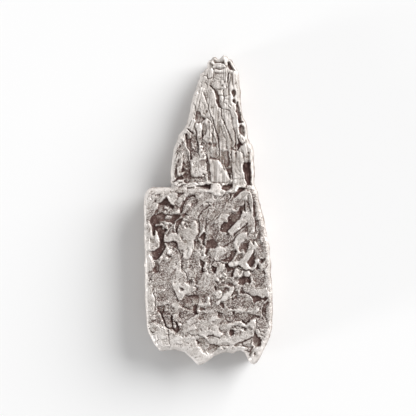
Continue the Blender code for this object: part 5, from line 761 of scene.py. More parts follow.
SLAB_NODULES = (
    "9.6 -69 1.5 .5, 14.6 -69.6 1.4 .5, 11.5 -72.6 1.2 .5, 18 -67.5 1.2 .5, 17.6 -63.4 1.4 .5, "
    "24.2 -68 1.6 .5, 28.5 -72.6 1.2 .5, 16.8 -69.8 1 .4, 21.6 -66.6 1 .4, 16 -66 1 .4, "
    "19.6 -70.3 1 .35, 12.6 -66 1 .35, 50 -50.4 2 .6, 54.6 -57 1.7 .5, 56.5 -52.8 1.2 .5, "
    "54.6 -54.6 1.1 .4, 51.3 -62.6 1 .4, 55.4 -65 1 .35, 11.5 -33.6 1 .7, -41.5 -13.6 1.4 1, "
    "-41.6 -16.8 1.3 .9, -44.4 -17.6 1.4 .7, -43 -1.8 1.3 .6, -42.6 2.3 1.3 .7, -26.4 -3.4 1 .6, "
    "-21.6 4 1.4 .3, -18.4 5.2 1.6 .4, -27 6.5 1.2 .5, -23.4 10.6 .9 .7, -31 -1.6 1.5 .4, "
    "-13 2 1.2 .3, -21 -6.5 1 .4, -42.6 -34.4 1.1 .7, -42 -48.6 1.6 .5, -46.6 -46.4 1.3 .5, "
    "-6.5 -67 1.5 .3, -4.8 -65.4 1.2 .3, -9.8 -60 1 .3, 12.4 -103 1 .4, 22 -99 1.2 .3, "
    "27.2 -118.6 1.3 .35, 23.8 -107.8 1.2 .4, 26.4 -109.2 .9 .4, 13 -124.4 1.8 .3, 20 -122.8 1.4 .2, "
    "13.4 -137.5 1.2 .3, 18 -136.4 1.5 .3, 35.4 -138.2 1.6 .3, -24 -46 1.5 .25, -28 -113.6 1.6 .9, "
    "-25.4 -101 1 .35, -47.6 -98 2 .35, 36 -1 1.2 .5, 23.3 -76.5 1.8 .3, 7.6 -23 1.2 .35, "
    "-0.6 -16.6 1.4 .4, 4 2.6 1 .3, 9.4 3.6 1.2 .25, 26 -0.6 1.5 .35, -40 -38 1 .5, -39 -42 1.2 .6, "
    "-24.5 -9.3 1 .4, -25.8 -13 1.1 .4, -21.6 -13.8 1 .35, -23.2 -16.8 1 .35, -22.4 -10 .9 .35, "
    "-19.4 -14.8 .9 .3, 10.6 -69.6 1.1 .5, 12.6 -71.8 1 .4, 14.4 -70.2 .9 .4, -28 -109 1 .35, "
    "-26.4 -106 1 .3, -41.6 -99.6 .9 .5"
)

SLAB = {"hollows": SLAB_HOLLOWS, "flakes": SLAB_FLAKES, "grooves": SLAB_GROOVES, "ridges": SLAB_RIDGES,
        "pits": SLAB_PITS, "nodules": SLAB_NODULES}


def count(group):
    """How many outlines, lines or dots a group draws."""
    if isinstance(group, str):
        return len(points(group))
    return sum(text.count(";") + 1 for *_, text in group.values())


print("slab:", {name: count(group) for name, group in SLAB.items()})

# %% [markdown]
# The spur
#
# The spur is torn into long splinters that lean together towards its tip, with blocks and lobes at its
# root, a deep four-sided hole at the right and a seam of thin folded layers where it meets the slab. Its
# pieces are drawn as the slab's are.

# %% Gaps and holes of the spur
SPUR_HOLLOWS = {
    "slot of the crown": (-1.5,
        "20.5 150, 23 150, 24 147.5, 25 144.5, 26.5 142, 28.5 140, 26 140, 23 141, 21.5 142.5, 21 146"),
    "dip of the crown": (-0.6,
        "2 152, 5 153, 8 151.5, 12 150.5, 14 149.5, 16 150.5, 17.5 148, 16.5 147, 12 147.5, "
        "8.5 147.5, 6 149.5"),
    "left dip of the crown": (-0.5, "-1 147, 1 149, 3 148.5, 5.5 146, 4 143.5, 1.5 143, -1 142"),
    "dark wedge": (-0.95,
        "1.5 125.5, 4 124.5, 6 122, 8 121, 9 120, 10 116, 11.5 113, 11.5 109, 12 106, 13.5 103, "
        "12.5 101.5, 11 102, 10 104.5, 9 107, 8.5 110, 7.5 113, 7 117.5, 5.5 120.5, 3 123"),
    "hexagonal pit": (-1.2, "24 118.5, 25.5 120.5, 28 121, 29.5 118.5, 29 115.5, 26.5 112.5, 25 115"),
    "pit below it": (-1.1, "25 111, 27.5 111, 29 109, 28.5 106.5, 27 107, 25.5 109"),
    "long gap": (-1.4,
        "28.5 104.5, 30 107.5, 32 108.5, 31.5 105, 33 103, 33 99, 35 97.5, 34 93.5, 35 90, 37 88.5, "
        "35 87, 32 87, 30.5 89.5, 30.5 94.5, 29 99, 29.5 102"),
    "oval pit": (-1.1,
        "31.5 82, 32.5 84.5, 34.5 85, 36.5 83.5, 37 79.5, 39 76.5, 37.5 73, 36.5 74.5, 34 76, 32 78.5"),
    "V crack": (-1.2,
        "31 74, 32 71.5, 33 68.5, 35 66, 36 64.5, 33 64, 32 62, 31 59.5, 29.5 59.5, 30 62.5, 29 64.5, "
        "31.5 66, 31 70"),
    "window": (-1.5,
        "36.5 47.5, 40 47, 42 48, 45 47.5, 44 44.5, 45 36, 45 31, 44.5 28, 45.5 25, 44 24.5, 41 25, "
        "39.5 26.5, 37.5 30.5, 37 34.5, 37 37, 35.5 39, 35 43"),
    "post cavity": (-1.3, "-6 81, -5 83.5, -3.5 83, -3.5 78, -4 74.5, -6 73, -6.5 77"),
    "shade left of the block": (-0.3, "-7 85.5, -4 86.5, -1.5 84, -0.5 80, -1.5 76, -5 75"),
    "foot of the fan": (-0.55,
        "-15 91.5, -13.5 94.5, -12.5 98, -10 99.5, -7 97.5, -6.5 94, -3.5 92, -2 90.5, -4 89.5, "
        "-7 88, -10 87.5, -12.5 87.5, -13.5 89.5"),
    "left splinter gap": (-0.6,
        "-20.5 81.5, -18 80.5, -15.5 78.5, -13.5 76.5, -15.5 76, -17.5 77.5, -20 79.5"),
    "hole under the chip": (-1.3,
        "-24.5 77, -21.5 76.5, -21 73.5, -20.5 71, -20.5 65, -19.5 61, -17.5 58.5, -16 54, "
        "-15.5 50.5, -17.5 50.5, -18 56, -19.5 59.5, -21 62.5, -22 66, -22 70.5, -23.5 74"),
    "mid left hollow": (-0.5,
        "-21 70.5, -17 72, -13 74.5, -11 73, -9.5 67, -8.5 61, -9.5 57, -12.5 54.5, -15 51, "
        "-16.5 56.5, -19.5 61"),
    "dark base hollow": (-0.75,
        "-30 34, -28 34, -25 35.5, -23 37.5, -19.5 41, -18.5 44, -17.5 42, -17 36, -16 33.5, "
        "-14.5 32.5, -8 32.5, -4 33.5, -4.5 36, -2 33.5, -1.5 29.5, -2.5 28.5, -5.5 30.5, -12 31, "
        "-17 30.5, -21 31.5, -24.5 31, -28.5 31, -31 31.5"),
    "left column": (-0.9,
        "-35 33.5, -35 38, -34 41.5, -31.5 42, -31 38.5, -31.5 36, -30 34.5, -32 32.5, -33.5 32"),
    "corner gap": (-1.6,
        "-38.5 28, -36.5 29, -34 30.5, -32.5 32.5, -30 34, -26.5 34, -24.5 33, -26 31, -29 30.5, "
        "-32 29, -34.5 28, -37 25.5"),
    "seam cavity": (-1.6,
        "-7 24.5, -4 25, 0 25.5, 3.5 25.5, 2 24, 2.5 22.5, 2 21, -1 22, -5 23, -9 23.5, -12.5 23, "
        "-12 24"),
    "bead cavity": (-1.4,
        "14 20.5, 15 23.5, 16.5 24.5, 19 24, 21 25.5, 24 25.5, 24.5 23, 23.5 21.5, 21 20.5, 18.5 19, "
        "17 20"),
    "V cavity": (-1.4, "20.5 37.5, 24 37, 23.5 33, 23 31, 22 33"),
    "shaded trough": (-0.45,
        "10.5 55, 11.5 60, 14 60, 16 58, 19 60, 21 59.5, 21.5 52, 22 46, 21 42, 18.5 42.5, 15 46, "
        "10 50.5, 9 52"),
    "hollow on the right": (-0.35, "37.5 56, 40 60, 43 60.5, 44.5 56, 44 51, 41 50, 39.5 53"),
    "head of the V": (-0.7, "19.5 41, 21.5 41, 24 42.5, 25 40, 24 37, 20.5 37.5"),
}

# %% Splinters, blocks and layers of the spur
SPUR_PLATES = {
    "outer wall": (0.3, "44.5 26, 46.5 26, 46.5 47, 45 47, 45 38"),
    "crown ledge": (0.55,
        "3.5 143.5, 6.5 145.5, 8 147.5, 12 147, 16 146.5, 18.5 144.5, 17 143.5, 12 143, 8 143, "
        "5.5 142.5"),
    "crown knob": (0.4,
        "14 153.5, 15.5 154.5, 18.5 153, 20 151, 19.5 146, 18 148.5, 16.5 151, 14.5 151.5"),
    "crown arm": (0.45, "1.5 150.5, 3.5 150, 6 148, 8.5 146.5, 7 145.5, 5 147, 3 149"),
    "pebble": (0.65,
        "-1 137.5, 0.5 141.5, 2.5 143, 3.5 141.5, 5 140, 5 137, 4.5 133, 2 132.5, 0 132, -1 134.5"),
    "upper band": (0.2,
        "6 141, 12 140.5, 18 141.5, 21 143.5, 23 140.5, 28 139.5, 30 136, 30.5 128, 26 127, 24.5 131, "
        "24.5 136.5, 22.5 139, 20.5 138, 19.5 137, 14 138, 6.5 137.5"),
    "square plate": (0.1,
        "6.5 137, 14 137.5, 18.5 137, 19 131, 18.5 125, 16.5 121.5, 10 122, 7 123, 6 126, 5.5 131"),
    "left crown flake": (0.2, "-8 133.5, -5 134.5, -1.5 134.5, -1.5 131.5, -3.5 129.5, -7 129"),
    "little plate": (0.35, "10.5 115.5, 10.5 120.5, 15 120.5, 15 115.5"),
    "little plate below": (0.35, "12 108.5, 12 114, 15 114, 15 108.5"),
    "right strip": (0.3,
        "16.5 113.5, 24 114.5, 25.5 112, 25 108.5, 27 105.5, 28.5 102, 28.5 98.5, 30 94.5, 30 88, "
        "31.5 86.5, 31 80, 33.5 76.5, 32 75, 29.5 75.5, 29 66, 28.5 61, 27.5 66, 27 74, 26.5 82, "
        "25 86, 24.5 94, 22.5 99, 19 101, 16 101, 15 103.5, 16.5 107"),
    "middle splinter": (0.3,
        "15 101, 18.5 100, 22 98, 24 95, 24 86, 26 82, 27 74, 27.5 67, 26 62.5, 25 68, 23 74.5, "
        "20.5 80, 18.5 84.5, 17 89, 15.5 93.5, 14.5 97"),
    "broad splinter": (0.15,
        "2 96, 3 102, 1.5 110, 2 118, 5 120.5, 7 116, 8 109, 9.5 104, 13 101, 14 96.5, 14 92, 16 88, "
        "18.5 82.5, 17.5 77, 15.5 74, 12 70, 10 72.5, 8.5 78.5, 8 82.5, 6.5 88, 4 92.5"),
    "splinter root": (0.05, "12 67, 14 70, 16 72, 17.5 69, 18.5 64, 17.5 61.5, 13 60.5, 12 62"),
    "right root": (0.1, "20 72, 21.5 76, 23.5 71.5, 24 67, 24 62, 21 60.5, 20 64"),
    "fan of splinters": (0.2,
        "-15.5 110, -12 120, -8 123.5, -3.5 122, -5 117.5, -2.5 111.5, 0 106, 1 100, 3 95, 2 91.5, "
        "-3 92, -6.5 95, -7 98.5, -11 100, -13 103, -15 107"),
    "block": (0.45,
        "-6.5 87.5, -4 89, -1.5 90, 2 90, 3 88, 3.5 85, 3.5 78, 3.5 72, 2.5 68, 0.5 66, -2 68, "
        "-5 71.5, -3.5 75, -1.5 75.5, -0.5 80, -1.5 84.5, -4 86.5"),
    "bone post": (0.75,
        "-13 87, -7.5 87, -6.5 84, -6 81.5, -7 79, -6.5 76, -7 74.5, -10.5 74, -10.5 78, -11.5 81.5, "
        "-13 84.5"),
    "left chip": (0.3,
        "-20 81.5, -18.5 86, -16.5 90.5, -14.5 91, -13 88.5, -14 85, -13 81, -12 78, -13.5 77, "
        "-16 79.5"),
    "left lobe": (0.3,
        "-26.5 74.5, -23.5 70.5, -22.5 66, -21.5 62.5, -19.5 60, -18 57.5, -18 51, -19 47, -20 43, "
        "-23 38.5, -25.5 35.5, -29.5 35, -30.5 40, -31 46, -30.5 50, -33 50, -33.5 55.5, -31 61.5, "
        "-32.5 64.5, -29.5 70"),
    "dim face of the lobe": (-0.45,
        "-26 54, -24 58, -20.5 57.5, -18.5 54, -18 49, -17.5 44, -20 40, -23 37, -27.5 38, -26 46, "
        "-25 50"),
    "rough mass": (0.35,
        "-17 48, -14 52.5, -9.5 54.5, -8.5 59.5, -4.5 60, -3.5 55, -2 51, -2 46, -1 41.5, -1 37, "
        "-2.5 35.5, -4 37.5, -6 34, -9 33, -14 33.5, -16 36, -17 42"),
    "white tongue": (0.6, "-9 56, -9 60, -7.5 61.5, -4.5 60.5, -4 56.5, -5.5 53, -8 52.5"),
    "pale plate": (0.6,
        "2 50, 9 50.5, 12 47, 15 43, 18.5 38, 21 32.5, 22.5 30, 20.5 28, 4.5 28, 4 35, 2.5 42"),
    "plank": (0.6,
        "25 59.5, 28 60, 31 59, 34.5 57, 36 52, 36.5 47, 35 42.5, 35 38.5, 37 35.5, 37 31, 33 31, "
        "26 31.5, 25 36, 24.5 44"),
    "speckled patch": (0.35,
        "36.5 64.5, 40 68.5, 41 66.5, 44.5 62, 45.5 54, 46 49, 42 49, 38 49, 37 51.5, 36.5 57, "
        "34.5 60, 33 62.5"),
    "upper corner block": (0.45,
        "31.5 73.5, 34 76, 36.5 74, 38 72.5, 40.5 74.5, 41 71, 39.5 70.5, 36.5 67.5, 34.5 67, 33 70"),
    "lamella one": (0.4,
        "-36.5 26.5, -33 29, -29.5 30.5, -25 30, -24.5 27.5, -28 27.5, -31 26, -33 24.5"),
    "lamella two": (0.45,
        "-32.5 24.5, -30 26, -25.5 27, -20 26.5, -14 27.5, -10 25.5, -8.5 24.5, -13 23.5, -16 22.5, "
        "-20 22.5, -22.5 24, -26 25, -30 24"),
    "lamella three": (0.55, "-10 26.5, -7 28, -1 28, 3.5 27, 3.5 26, 0 26, -5 25.5, -8 25"),
    "lamella four": (0.4,
        "-37 25.5, -33 23.5, -29 22.5, -24 22.5, -20.5 21, -16 20.5, -12 21.5, -6 21, 0 20.5, 3 21, "
        "4 18, -37 18.5"),
    "bead A": (0.75,
        "3.5 20, 4 24.5, 6.5 27, 10 27, 13 25, 14.5 21, 17 19, 16.5 16, 13.5 14, 9.5 14, 6 15, 4 17"),
    "bead B": (0.75,
        "24.5 30, 28 31, 34 31, 37.5 30, 39 26.5, 38 23.5, 36 22.5, 33 23, 30.5 21.5, 28 19, 25 17.5, "
        "21 17.5, 18.5 18.5, 21.5 20, 24.5 21, 25.5 24.5, 25 27.5"),
    "foot of the plank": (0.3, "22.5 29.5, 24.5 29.5, 24.5 26, 21.5 26.5"),
    "brace": (0.35, "14 26.5, 17 26.5, 17.5 25, 15 24.5, 14 25"),
    "bridge to the corner": (0.2,
        "38.5 24.5, 41 23.5, 45 23.5, 47 24.5, 48 21.5, 44.5 21, 41 21.5, 38.5 22.5"),
}

# %% Grooves between the splinters
SPUR_GROOVES = {
    "Hair cracks, faint": (0.85, -0.35,
        "11 134, 13.5 132.5, 15.5 131.5; 26.5 125.5, 28.5 126.5, 31 127, 31.5 124, 31.5 121; 21 96, "
        "21.5 93, 21.5 92; 11.5 80, 11.5 76.5; 14 81, 13.5 84.5, 12.5 85.5; 13 97, 13 92, "
        "13.5 89; -10.5 104.5, -10.5 100.5; -8.5 108.5, -9 104, -9 101; -6.5 108, -4 104.5, "
        "-3 101; -2.5 118, -0.5 112; 3.5 118, 3 110, 3.5 103; 5.5 100, 5.5 95.5; -27 44, -25 43, "
        "-24.5 41; -14.5 42.5, -13.5 41; -11.5 46, -12.5 40, -12.5 35.5; 4.5 50, 4 44, 4.5 36, "
        "4.5 33; 4 28, 12 27.5, 18 27.5, 21.5 29; 28 56.5, 28.5 52, 28.5 46, 29.5 43, 31 40, "
        "33.5 37.5; 27 40, 28.5 37.5, 31 35.5, 33 34; 32.5 55.5, 34.5 55, 35.5 53; 16.5 49.5, "
        "17.5 45, 18.5 42; 21 58, 21.5 52, 21.5 47; 14 56, 16.5 52, 17 49; 4.5 24.5, 4.5 22, "
        "4.5 19.5; 36.5 29, 37 27, 38 25.5"),
    "Hair cracks, low": (0.85, -0.5,
        "4.5 145, 3.5 143.5, 4.5 142; 7 132.5, 10 131, 13 130.5, 17 130.5; 8.5 121.5, 11 121, "
        "15 121.5; -7.5 125, -6.5 122.5; 4.5 87, 4 84.5, 4.5 82, 5.5 80.5, 5.5 78.5"),
    "Hair cracks, middling": (0.85, -0.6, "-25.5 54.5, -26 51"),
    "Hair cracks, strong": (0.85, -0.75, "-12.5 23.5, -10 23.5, -8.5 24"),
    "Fine cracks, faint": (1.05, -0.35,
        "7 136, 10 136.5, 12.5 136.5, 15 137; 23.5 95.5, 24.5 92; 22 115, 24.5 114.5; 14.5 81, "
        "14.5 77.5, 16 75.5"),
    "Fine cracks, low": (1.05, -0.5,
        "-8 134, -6.5 133.5, -5.5 133.5; -8 128.5, -7 127.5; 13 102, 15.5 101.5, 18 101, 20.5 100, "
        "22.5 99, 23.5 97.5; -15 107.5, -14 104, -12.5 101.5, -12 97.5, -13 93; -7.5 97, "
        "-7.5 91.5; -30 62.5, -28 63; -31 68, -29.5 66.5, -27 67; -27 38, -25.5 36, "
        "-24.5 34.5; 35.5 66, 37.5 68, 39.5 70; 41.5 58, 41.5 57; 38 29, 39 28.5"),
    "Fine cracks, middling": (1.05, -0.6,
        "15.5 149.5, 16.5 147.5, 17.5 145; 16.5 108, 17.5 107, 19 105.5; 20.5 103.5, 22 102.5, "
        "23 101.5; 10.5 114.5, 13 114.5, 16 114.5, 19 114.5; -17.5 89.5, -18.5 87, -20 83.5; -5.5 70, "
        "-6 67.5, -6.5 65.5, -9 64.5; -9 56, -8 53, -7.5 51, -5 52.5, -4.5 54; -13 58.5, "
        "-11 58.5; -31.5 45.5, -32.5 43, -31.5 41.5; 25.5 60, 28 59.5, 30.5 59.5; -24 28.5, -22 27, "
        "-19.5 27; -12 27.5, -9.5 28, -8 28.5"),
    "Fine cracks, strong": (1.05, -0.75,
        "4 142, 5.5 141.5, 9 142, 12 141.5, 15 141.5, 17 142.5; -1.5 137, -1.5 135, -1 133, "
        "-0.5 131.5; -5 135, -2.5 134.5, -1.5 133.5, 0 131.5, 2.5 132, 4.5 133; 23.5 136, 23 132, "
        "22.5 129, 22 125.5, 20.5 123, 18.5 121.5; 0 90.5, 2.5 90, 3.5 88.5, 3.5 87; -15 97.5, "
        "-14 94.5; -5 40.5, -3 40.5, -1 41.5; 18 43, 19.5 40.5, 21 37, 22.5 32; 23.5 58, 23.5 54, "
        "24 51; -32 25.5, -30 26.5, -28 27.5"),
    "Fine cracks, very strong": (1.05, -0.95, "-20.5 21.5, -18 21.5, -16 22, -14.5 23"),
    "Narrow cracks, faint": (1.25, -0.35, "17 111, 22 110.5"),
    "Narrow cracks, low": (1.25, -0.5,
        "9.5 51, 12 48.5, 15 45.5, 16 42.5, 17 40; 39.5 56.5, 40 54, 39 52"),
    "Narrow cracks, middling": (1.25, -0.6,
        "-2 130, -3.5 128, -0.5 125.5; -4.5 118.5, -3.5 115, -2.5 112, -1.5 109, -0.5 106, 0.5 103, "
        "1 99.5, 2 97, 3.5 94.5, 5 92, 5.5 89.5; 2 125, 4 123.5, 5.5 122, 7 120, 7.5 117.5; 17 87.5, "
        "18.5 84, 19.5 81.5, 20.5 79, 21.5 76, 23 73.5, 24 71, 24.5 69; 15.5 120, 15.5 117, 16 113, "
        "16.5 110; 26 82, 27 79, 27.5 75.5, 27.5 72, 28 69, 28 65; -16 91.5, -15 91; -31 59.5, "
        "-32.5 58.5; 6.5 149, 9 148.5, 13 148.5, 16 147.5, 17.5 145.5, 19 144.5"),
    "Narrow cracks, strong": (1.25, -0.75,
        "5 139.5, 5.5 138.5, 5 136, 5.5 133.5, 5.5 131; 11.5 61, 11.5 57.5, 11 54; -13 87.5, -9 87.5, "
        "-6.5 88, -4.5 89.5, -2 90.5; -13.5 86.5, -14 84.5, -13 82, -12 79, -11.5 76, -11 73, "
        "-11.5 70; -21 81, -19 80, -17 78, -15 76.5; -5 35.5, -3.5 36, -2.5 34.5; 32 59, 34 57.5, "
        "36 56, 36 53.5, 36 51.5"),
    "Narrow cracks, very strong": (1.25, -0.95,
        "21.5 138, 21 136, 20.5 134, 20 130, 19.5 126, 18.5 122.5; -6 79, -5.5 75.5, -5.5 73, "
        "-5.5 70.5; -24 75.5, -22.5 77; -11.5 71.5, -10.5 68, -10 65.5, -9.5 63.5, -10 59.5, "
        "-9.5 56.5; -30.5 50.5, -30.5 48; -29.5 23, -27 24, -24 25, -22 25.5"),
    "Open cracks, faint": (1.55, -0.35, "12.5 122.5, 13.5 124.5, 15 125"),
    "Open cracks, low": (1.55, -0.5, "16 74.5, 17.5 73.5, 18.5 70, 18.5 66.5, 18.5 64, 19.5 61.5"),
    "Open cracks, middling": (1.55, -0.6,
        "4.5 77.5, 5.5 75, 5.5 72, 5 70, 4.5 68, 5.5 66; 0.5 51, 3 52, 5.5 51.5, 9 52"),
    "Open cracks, strong": (1.55, -0.75,
        "-10.5 127.5, -10 125, -9.5 124; 13.5 101.5, 14 98.5, 14.5 95, 14.5 91.5, 16 90, 17 87"),
    "Open cracks, very strong": (1.55, -0.95,
        "5.5 89.5, 6 86.5, 7 83.5, 7.5 81, 8.5 77.5, 9.5 74, 10.5 70.5, 11 68, 11.5 64, "
        "11.5 61; -22.5 71.5, -21 72.5; -31.5 57, -32.5 54.5, -33 52; -2 50, -1 47, 0 43.5, 0 40, "
        "0 36.5, 0.5 33, 1.5 29.5"),
    "Broad cracks, strong": (2.1, -0.75, "-1 55, 0 51.5, 1 46, 1.5 40, 2.5 34, 3 29"),
}

# %% Edges, pores and nodules of the spur
SPUR_RIDGES = {
    "Hair edges, faint": (0.85, 0.3,
        "22.5 135.5, 21.5 131, 21 126; 16.5 77.5, 16 76; -13.5 108, -11.5 103; -10 108, "
        "-10 102; -7.5 106, -6.5 101; -4.5 103, -5 100; 2.5 41, 2.5 36.5"),
    "Hair edges, low": (0.85, 0.4, "3.5 77, 3.5 73.5, 4 70; 24 35, 24 33"),
    "Fine edges, faint": (1.05, 0.3,
        "8.5 147, 12 146.5, 16 146, 19 144; 9 144, 14 144, 18 143.5; 35 96.5, 36 92, 37 90; -2.5 118, "
        "-1 112, 1 106, 2.5 100, 4 96, 6 91; 8 106, 9 102.5, 10 100; 14 86, 15.5 88, 17 83, 18.5 80, "
        "20 75, 21.5 71; 2.5 89, 3 85, 3 80, 3 74; -4.5 37.5, -1.5 38.5; -8.5 46, -8 40; -11.5 38.5, "
        "-11.5 36; 30 56, 30.5 48, 30.5 44; -32 29.5, -29 30, -26 29.5; -30.5 25, -27 26.5, "
        "-22 26.5; 0.5 57.5, 2 62, 4 61, 4.5 64.5"),
    "Fine edges, low": (1.05, 0.4, "-26.5 60, -26 55.5, -28.5 52; -2.5 33.5, -1 35.5"),
    "Fine edges, middling": (1.05, 0.5,
        "-27 50.5, -27 48; -24 42, -23.5 40.5; 3.5 35, 3.5 31.5; 15.5 49.5, 15.5 46.5; 17 42.5, "
        "18.5 40, 19.5 37"),
    "Fine edges, strong": (1.05, 0.6, "6.5 84, 6.5 80, 7 75, 8 71, 9 67, 10 63, 11 58"),
    "Narrow edges, faint": (1.25, 0.3,
        "20 137.5, 19 133, 18.5 128, 18.5 124; 38.5 79.5, 38 83, 36.5 86; -16.5 108, -17 103, "
        "-17.5 98; -36 50, -36.5 42, -36.5 34; -2.5 50, -1.5 45; -16 46, -15.5 40, -15.5 35; 35 48, "
        "34 44, 34.5 40, 36.5 35.5, 36.5 31.5; 31.5 59.5, 33.5 58, 34.5 56.5; -18 24.5, -14 26, "
        "-11 25; -9 27, -4 28, 3.5 27; -22 23, -16 24, -10 23; 3.5 58.5, 5.5 60.5, 6 57.5"),
    "Narrow edges, low": (1.25, 0.4,
        "-25 77.5, -23.5 79; 22.5 58.5, 22.5 53, 23 49; 8 61.5, 9.5 59, 10 56"),
    "Narrow edges, middling": (1.25, 0.5,
        "-30 40, -29.5 37, -29 34.5; -14 64, -12 64; -19 63.5, -18 61.5; -16.5 70, -16.5 67"),
    "Narrow edges, strong": (1.25, 0.6, "-26 36.5, -25.5 37.5, -24 38"),
    "Open edges, faint": (1.55, 0.3,
        "30 88.5, 29.5 95, 28 101, 27.5 105; 31 75.5, 30 81, 31 86; -30 65.5, -32.5 62.5, -34 58.5"),
    "Open edges, strong": (1.55, 0.6, "-23 80, -21 80, -18.5 78.5, -16 77, -14 76"),
    "Broad edges, low": (2.1, 0.4,
        "-27.5 72.5, -24.5 69.5, -23 65.5, -22 62, -19.5 59.5, -18 57.5, -18 51"),
}

SPUR_PITS = (
    "17.4 128.6 1 .5, 14.6 124.6 1.2 .5, 7.4 129.6 .8 .3, 3.4 126.4 .9 .4, 11.8 128 1.2 .3, "
    "5.2 128.4 .9 .4, -10 119.4 1.4 .3, 12.4 108.6 1.1 .5, -1.6 98.6 1 .5, -3.6 96.6 1.1 .4, "
    "3.8 102 1.1 .35, 23.4 104.6 .9 .4, 18.4 97.6 1 .2, 24.6 91.4 1.4 .3, -4.4 91.6 .9 .5, "
    "-0.8 92 .8 .4, 0.6 87.4 1.2 .3, 1.4 81.6 1.6 .35, -8.6 77.6 1.1 .35, -7.6 75.4 1 .35, "
    "-14 75 1.1 .4, 2.6 65.6 1.4 .5, -18.6 66 2 .6, -17.4 69.6 1.2 .4, -17.6 62.6 1.3 .6, "
    "-10.4 66 1.2 .5, -6 66 1.4 .5, -14.6 56 1.2 .4, -14 46 1.2 .4, -12.4 47.6 1 .3, 26.6 46.8 .9 .4, "
    "28.4 56.4 .9 .4, 13 37.6 1.3 .25, 41.4 57.2 1.3 .4, 37.6 53.6 .9 .4, 41 52.8 1.3 .3, "
    "27.6 24.4 1 .2, 8.6 18 .9 .15, 12.4 17.4 1 .15, 2.6 55.6 1.4 .4, 3 52.6 1.2 .4, 27.4 64.6 1 .4, "
    "26 62.8 1 .4, 24.4 61.4 1.2 .4, 28.8 62.6 1.2 .4, 36.4 70.6 .9 .4, -22.6 28.8 1.5 .7, "
    "-19 28.6 1.6 .5, -13 28.6 1.2 .4, -22.6 35 2 .4, -25.8 39.4 1 .5, -28.6 37.6 1.2 .4, "
    "-23.6 45.6 1.2 .4, -21 48 1.2 .4, -24.8 47 1 .4, -19 52.4 1.4 .4, -28.6 58.6 1 .4, "
    "-26 67.4 1.2 .3, 6.4 64.6 1.6 .6, 8.4 66 1.4 .5, 1.4 58.6 1.2 .4"
)

SPUR_NODULES = (
    "-13.6 88.8 1.2 .5, 17.6 122.6 1 .5, 5.6 122.6 .8 .4, 22.4 103.6 .9 .3, -12 117.4 1.2 .3, "
    "-5.8 136.6 .9 .3, 1.4 73.2 1 .4, 3.4 73.4 .9 .4, 13.6 86 1.4 .5, 15 88 1 .5, 10.4 89.6 .8 .3, "
    "16.4 76.4 .8 .4, -12.6 23 1 .4, 23.4 28.6 1 .5, 15.4 25.6 1.4 .4, 37.4 30.8 1 .3, "
    "-28.4 29.4 1.4 .3, -8 63.6 1.2 .6, -24 50 1 .3, -22 41 1.4 .5, 27 61.6 1 .4, 25.6 63.6 .9 .4, "
    "16.4 61 1 .4, -17.8 72.6 1 .4, 2.4 68 1.4 .4, -30.4 29 .9 .3, 20 21.6 1.2 .5, 28.4 118 1.6 .35, "
    "27.6 109 1 .3, 22.4 42.6 1 .3"
)

SPUR = {"hollows": SPUR_HOLLOWS, "flakes": SPUR_PLATES, "grooves": SPUR_GROOVES, "ridges": SPUR_RIDGES,
        "pits": SPUR_PITS, "nodules": SPUR_NODULES}
print("spur:", {name: count(group) for name, group in SPUR.items()})

# %% [markdown]
# Drawing the relief
#
# The levels are drawn once on a fine raster that covers the whole face. A raster is quick to blur, and the
# blurred copies tell how deep or how proud each spot stands against its surroundings, which the finish
# needs later. The lines are shifted a little by smooth noise first, so that no edge looks ruled. The face
# lies nearer to the eye than the outline does, so the drawing is laid on a little smaller than it was made.

# %% The raster of the face
RELIEF_SHARE = 0.44  # how much of the drawn height is worked into the metal
RASTER = 0.34
MARGIN = 4
SWELLS = ((0.16, 7, 14), (0.08, 3, 15))  # height in mm, size in grid steps, layer of noise
WANDERS = ((0.6, 4.5, 10), (0.35, 1.6, 12), (0.3, 0.8, 15))  # reach and size in grid steps, layer of noise
DRAWING_STRETCH, DRAWING_SHIFT = np.array([1.02, 1.006]), np.array([0.3, 0.35])
low_corner = OUTLINE.min(axis=0) - MARGIN
raster_size = np.ceil((np.ptp(OUTLINE, axis=0) + 2 * MARGIN) / RASTER).astype(int)
across, along = np.meshgrid(np.arange(raster_size[0]), np.arange(raster_size[1]))
raster_place = np.column_stack([across.ravel(), along.ravel()]) * RASTER + low_corner


def shifted(place):
    """Where a place of the face lies in the drawing, moved a little so that edges wander."""
    place = place * DRAWING_STRETCH + DRAWING_SHIFT
    moved = place
    for reach, size, layer in WANDERS:
        moved = moved + reach * np.column_stack([lumps(place, size, layer), lumps(place, size, layer + 1)])
    return moved


def face_relief(place):
    """Height of the face above its plain surface, in mm."""
    drawn = shifted(place)
    relief = sum(height * lumps(drawn, size, layer) for height, size, layer in SWELLS)
    for part in (SLAB, SPUR):
        for number, (level, text) in enumerate((part["hollows"] | part["flakes"]).values()):
            set_level(relief, drawn, level, text, number)
        for width, change, lines in (part["grooves"] | part["ridges"]).values():
            for text in lines.split("; "):
                add_line(relief, drawn, width, change, text)
        add_dots(relief, drawn, -1, part["pits"])
        add_dots(relief, drawn, 1, part["nodules"])
    return RELIEF_SHARE * relief


relief_raster = face_relief(raster_place).reshape(raster_size[::-1])
print("raster:", relief_raster.shape, "heights in mm:", relief_raster.min(), "to", relief_raster.max())

# %% [markdown]
# Grain and fibre
#
# On the slab the metal between the flakes is matt, made of grains less than half a millimetre wide and of
# small tilted leaves; on the spur it is torn into fibres that all lead to one point far beyond the tip.
# Both are real relief, about a tenth of a millimetre high, and fade on the burnished tops.

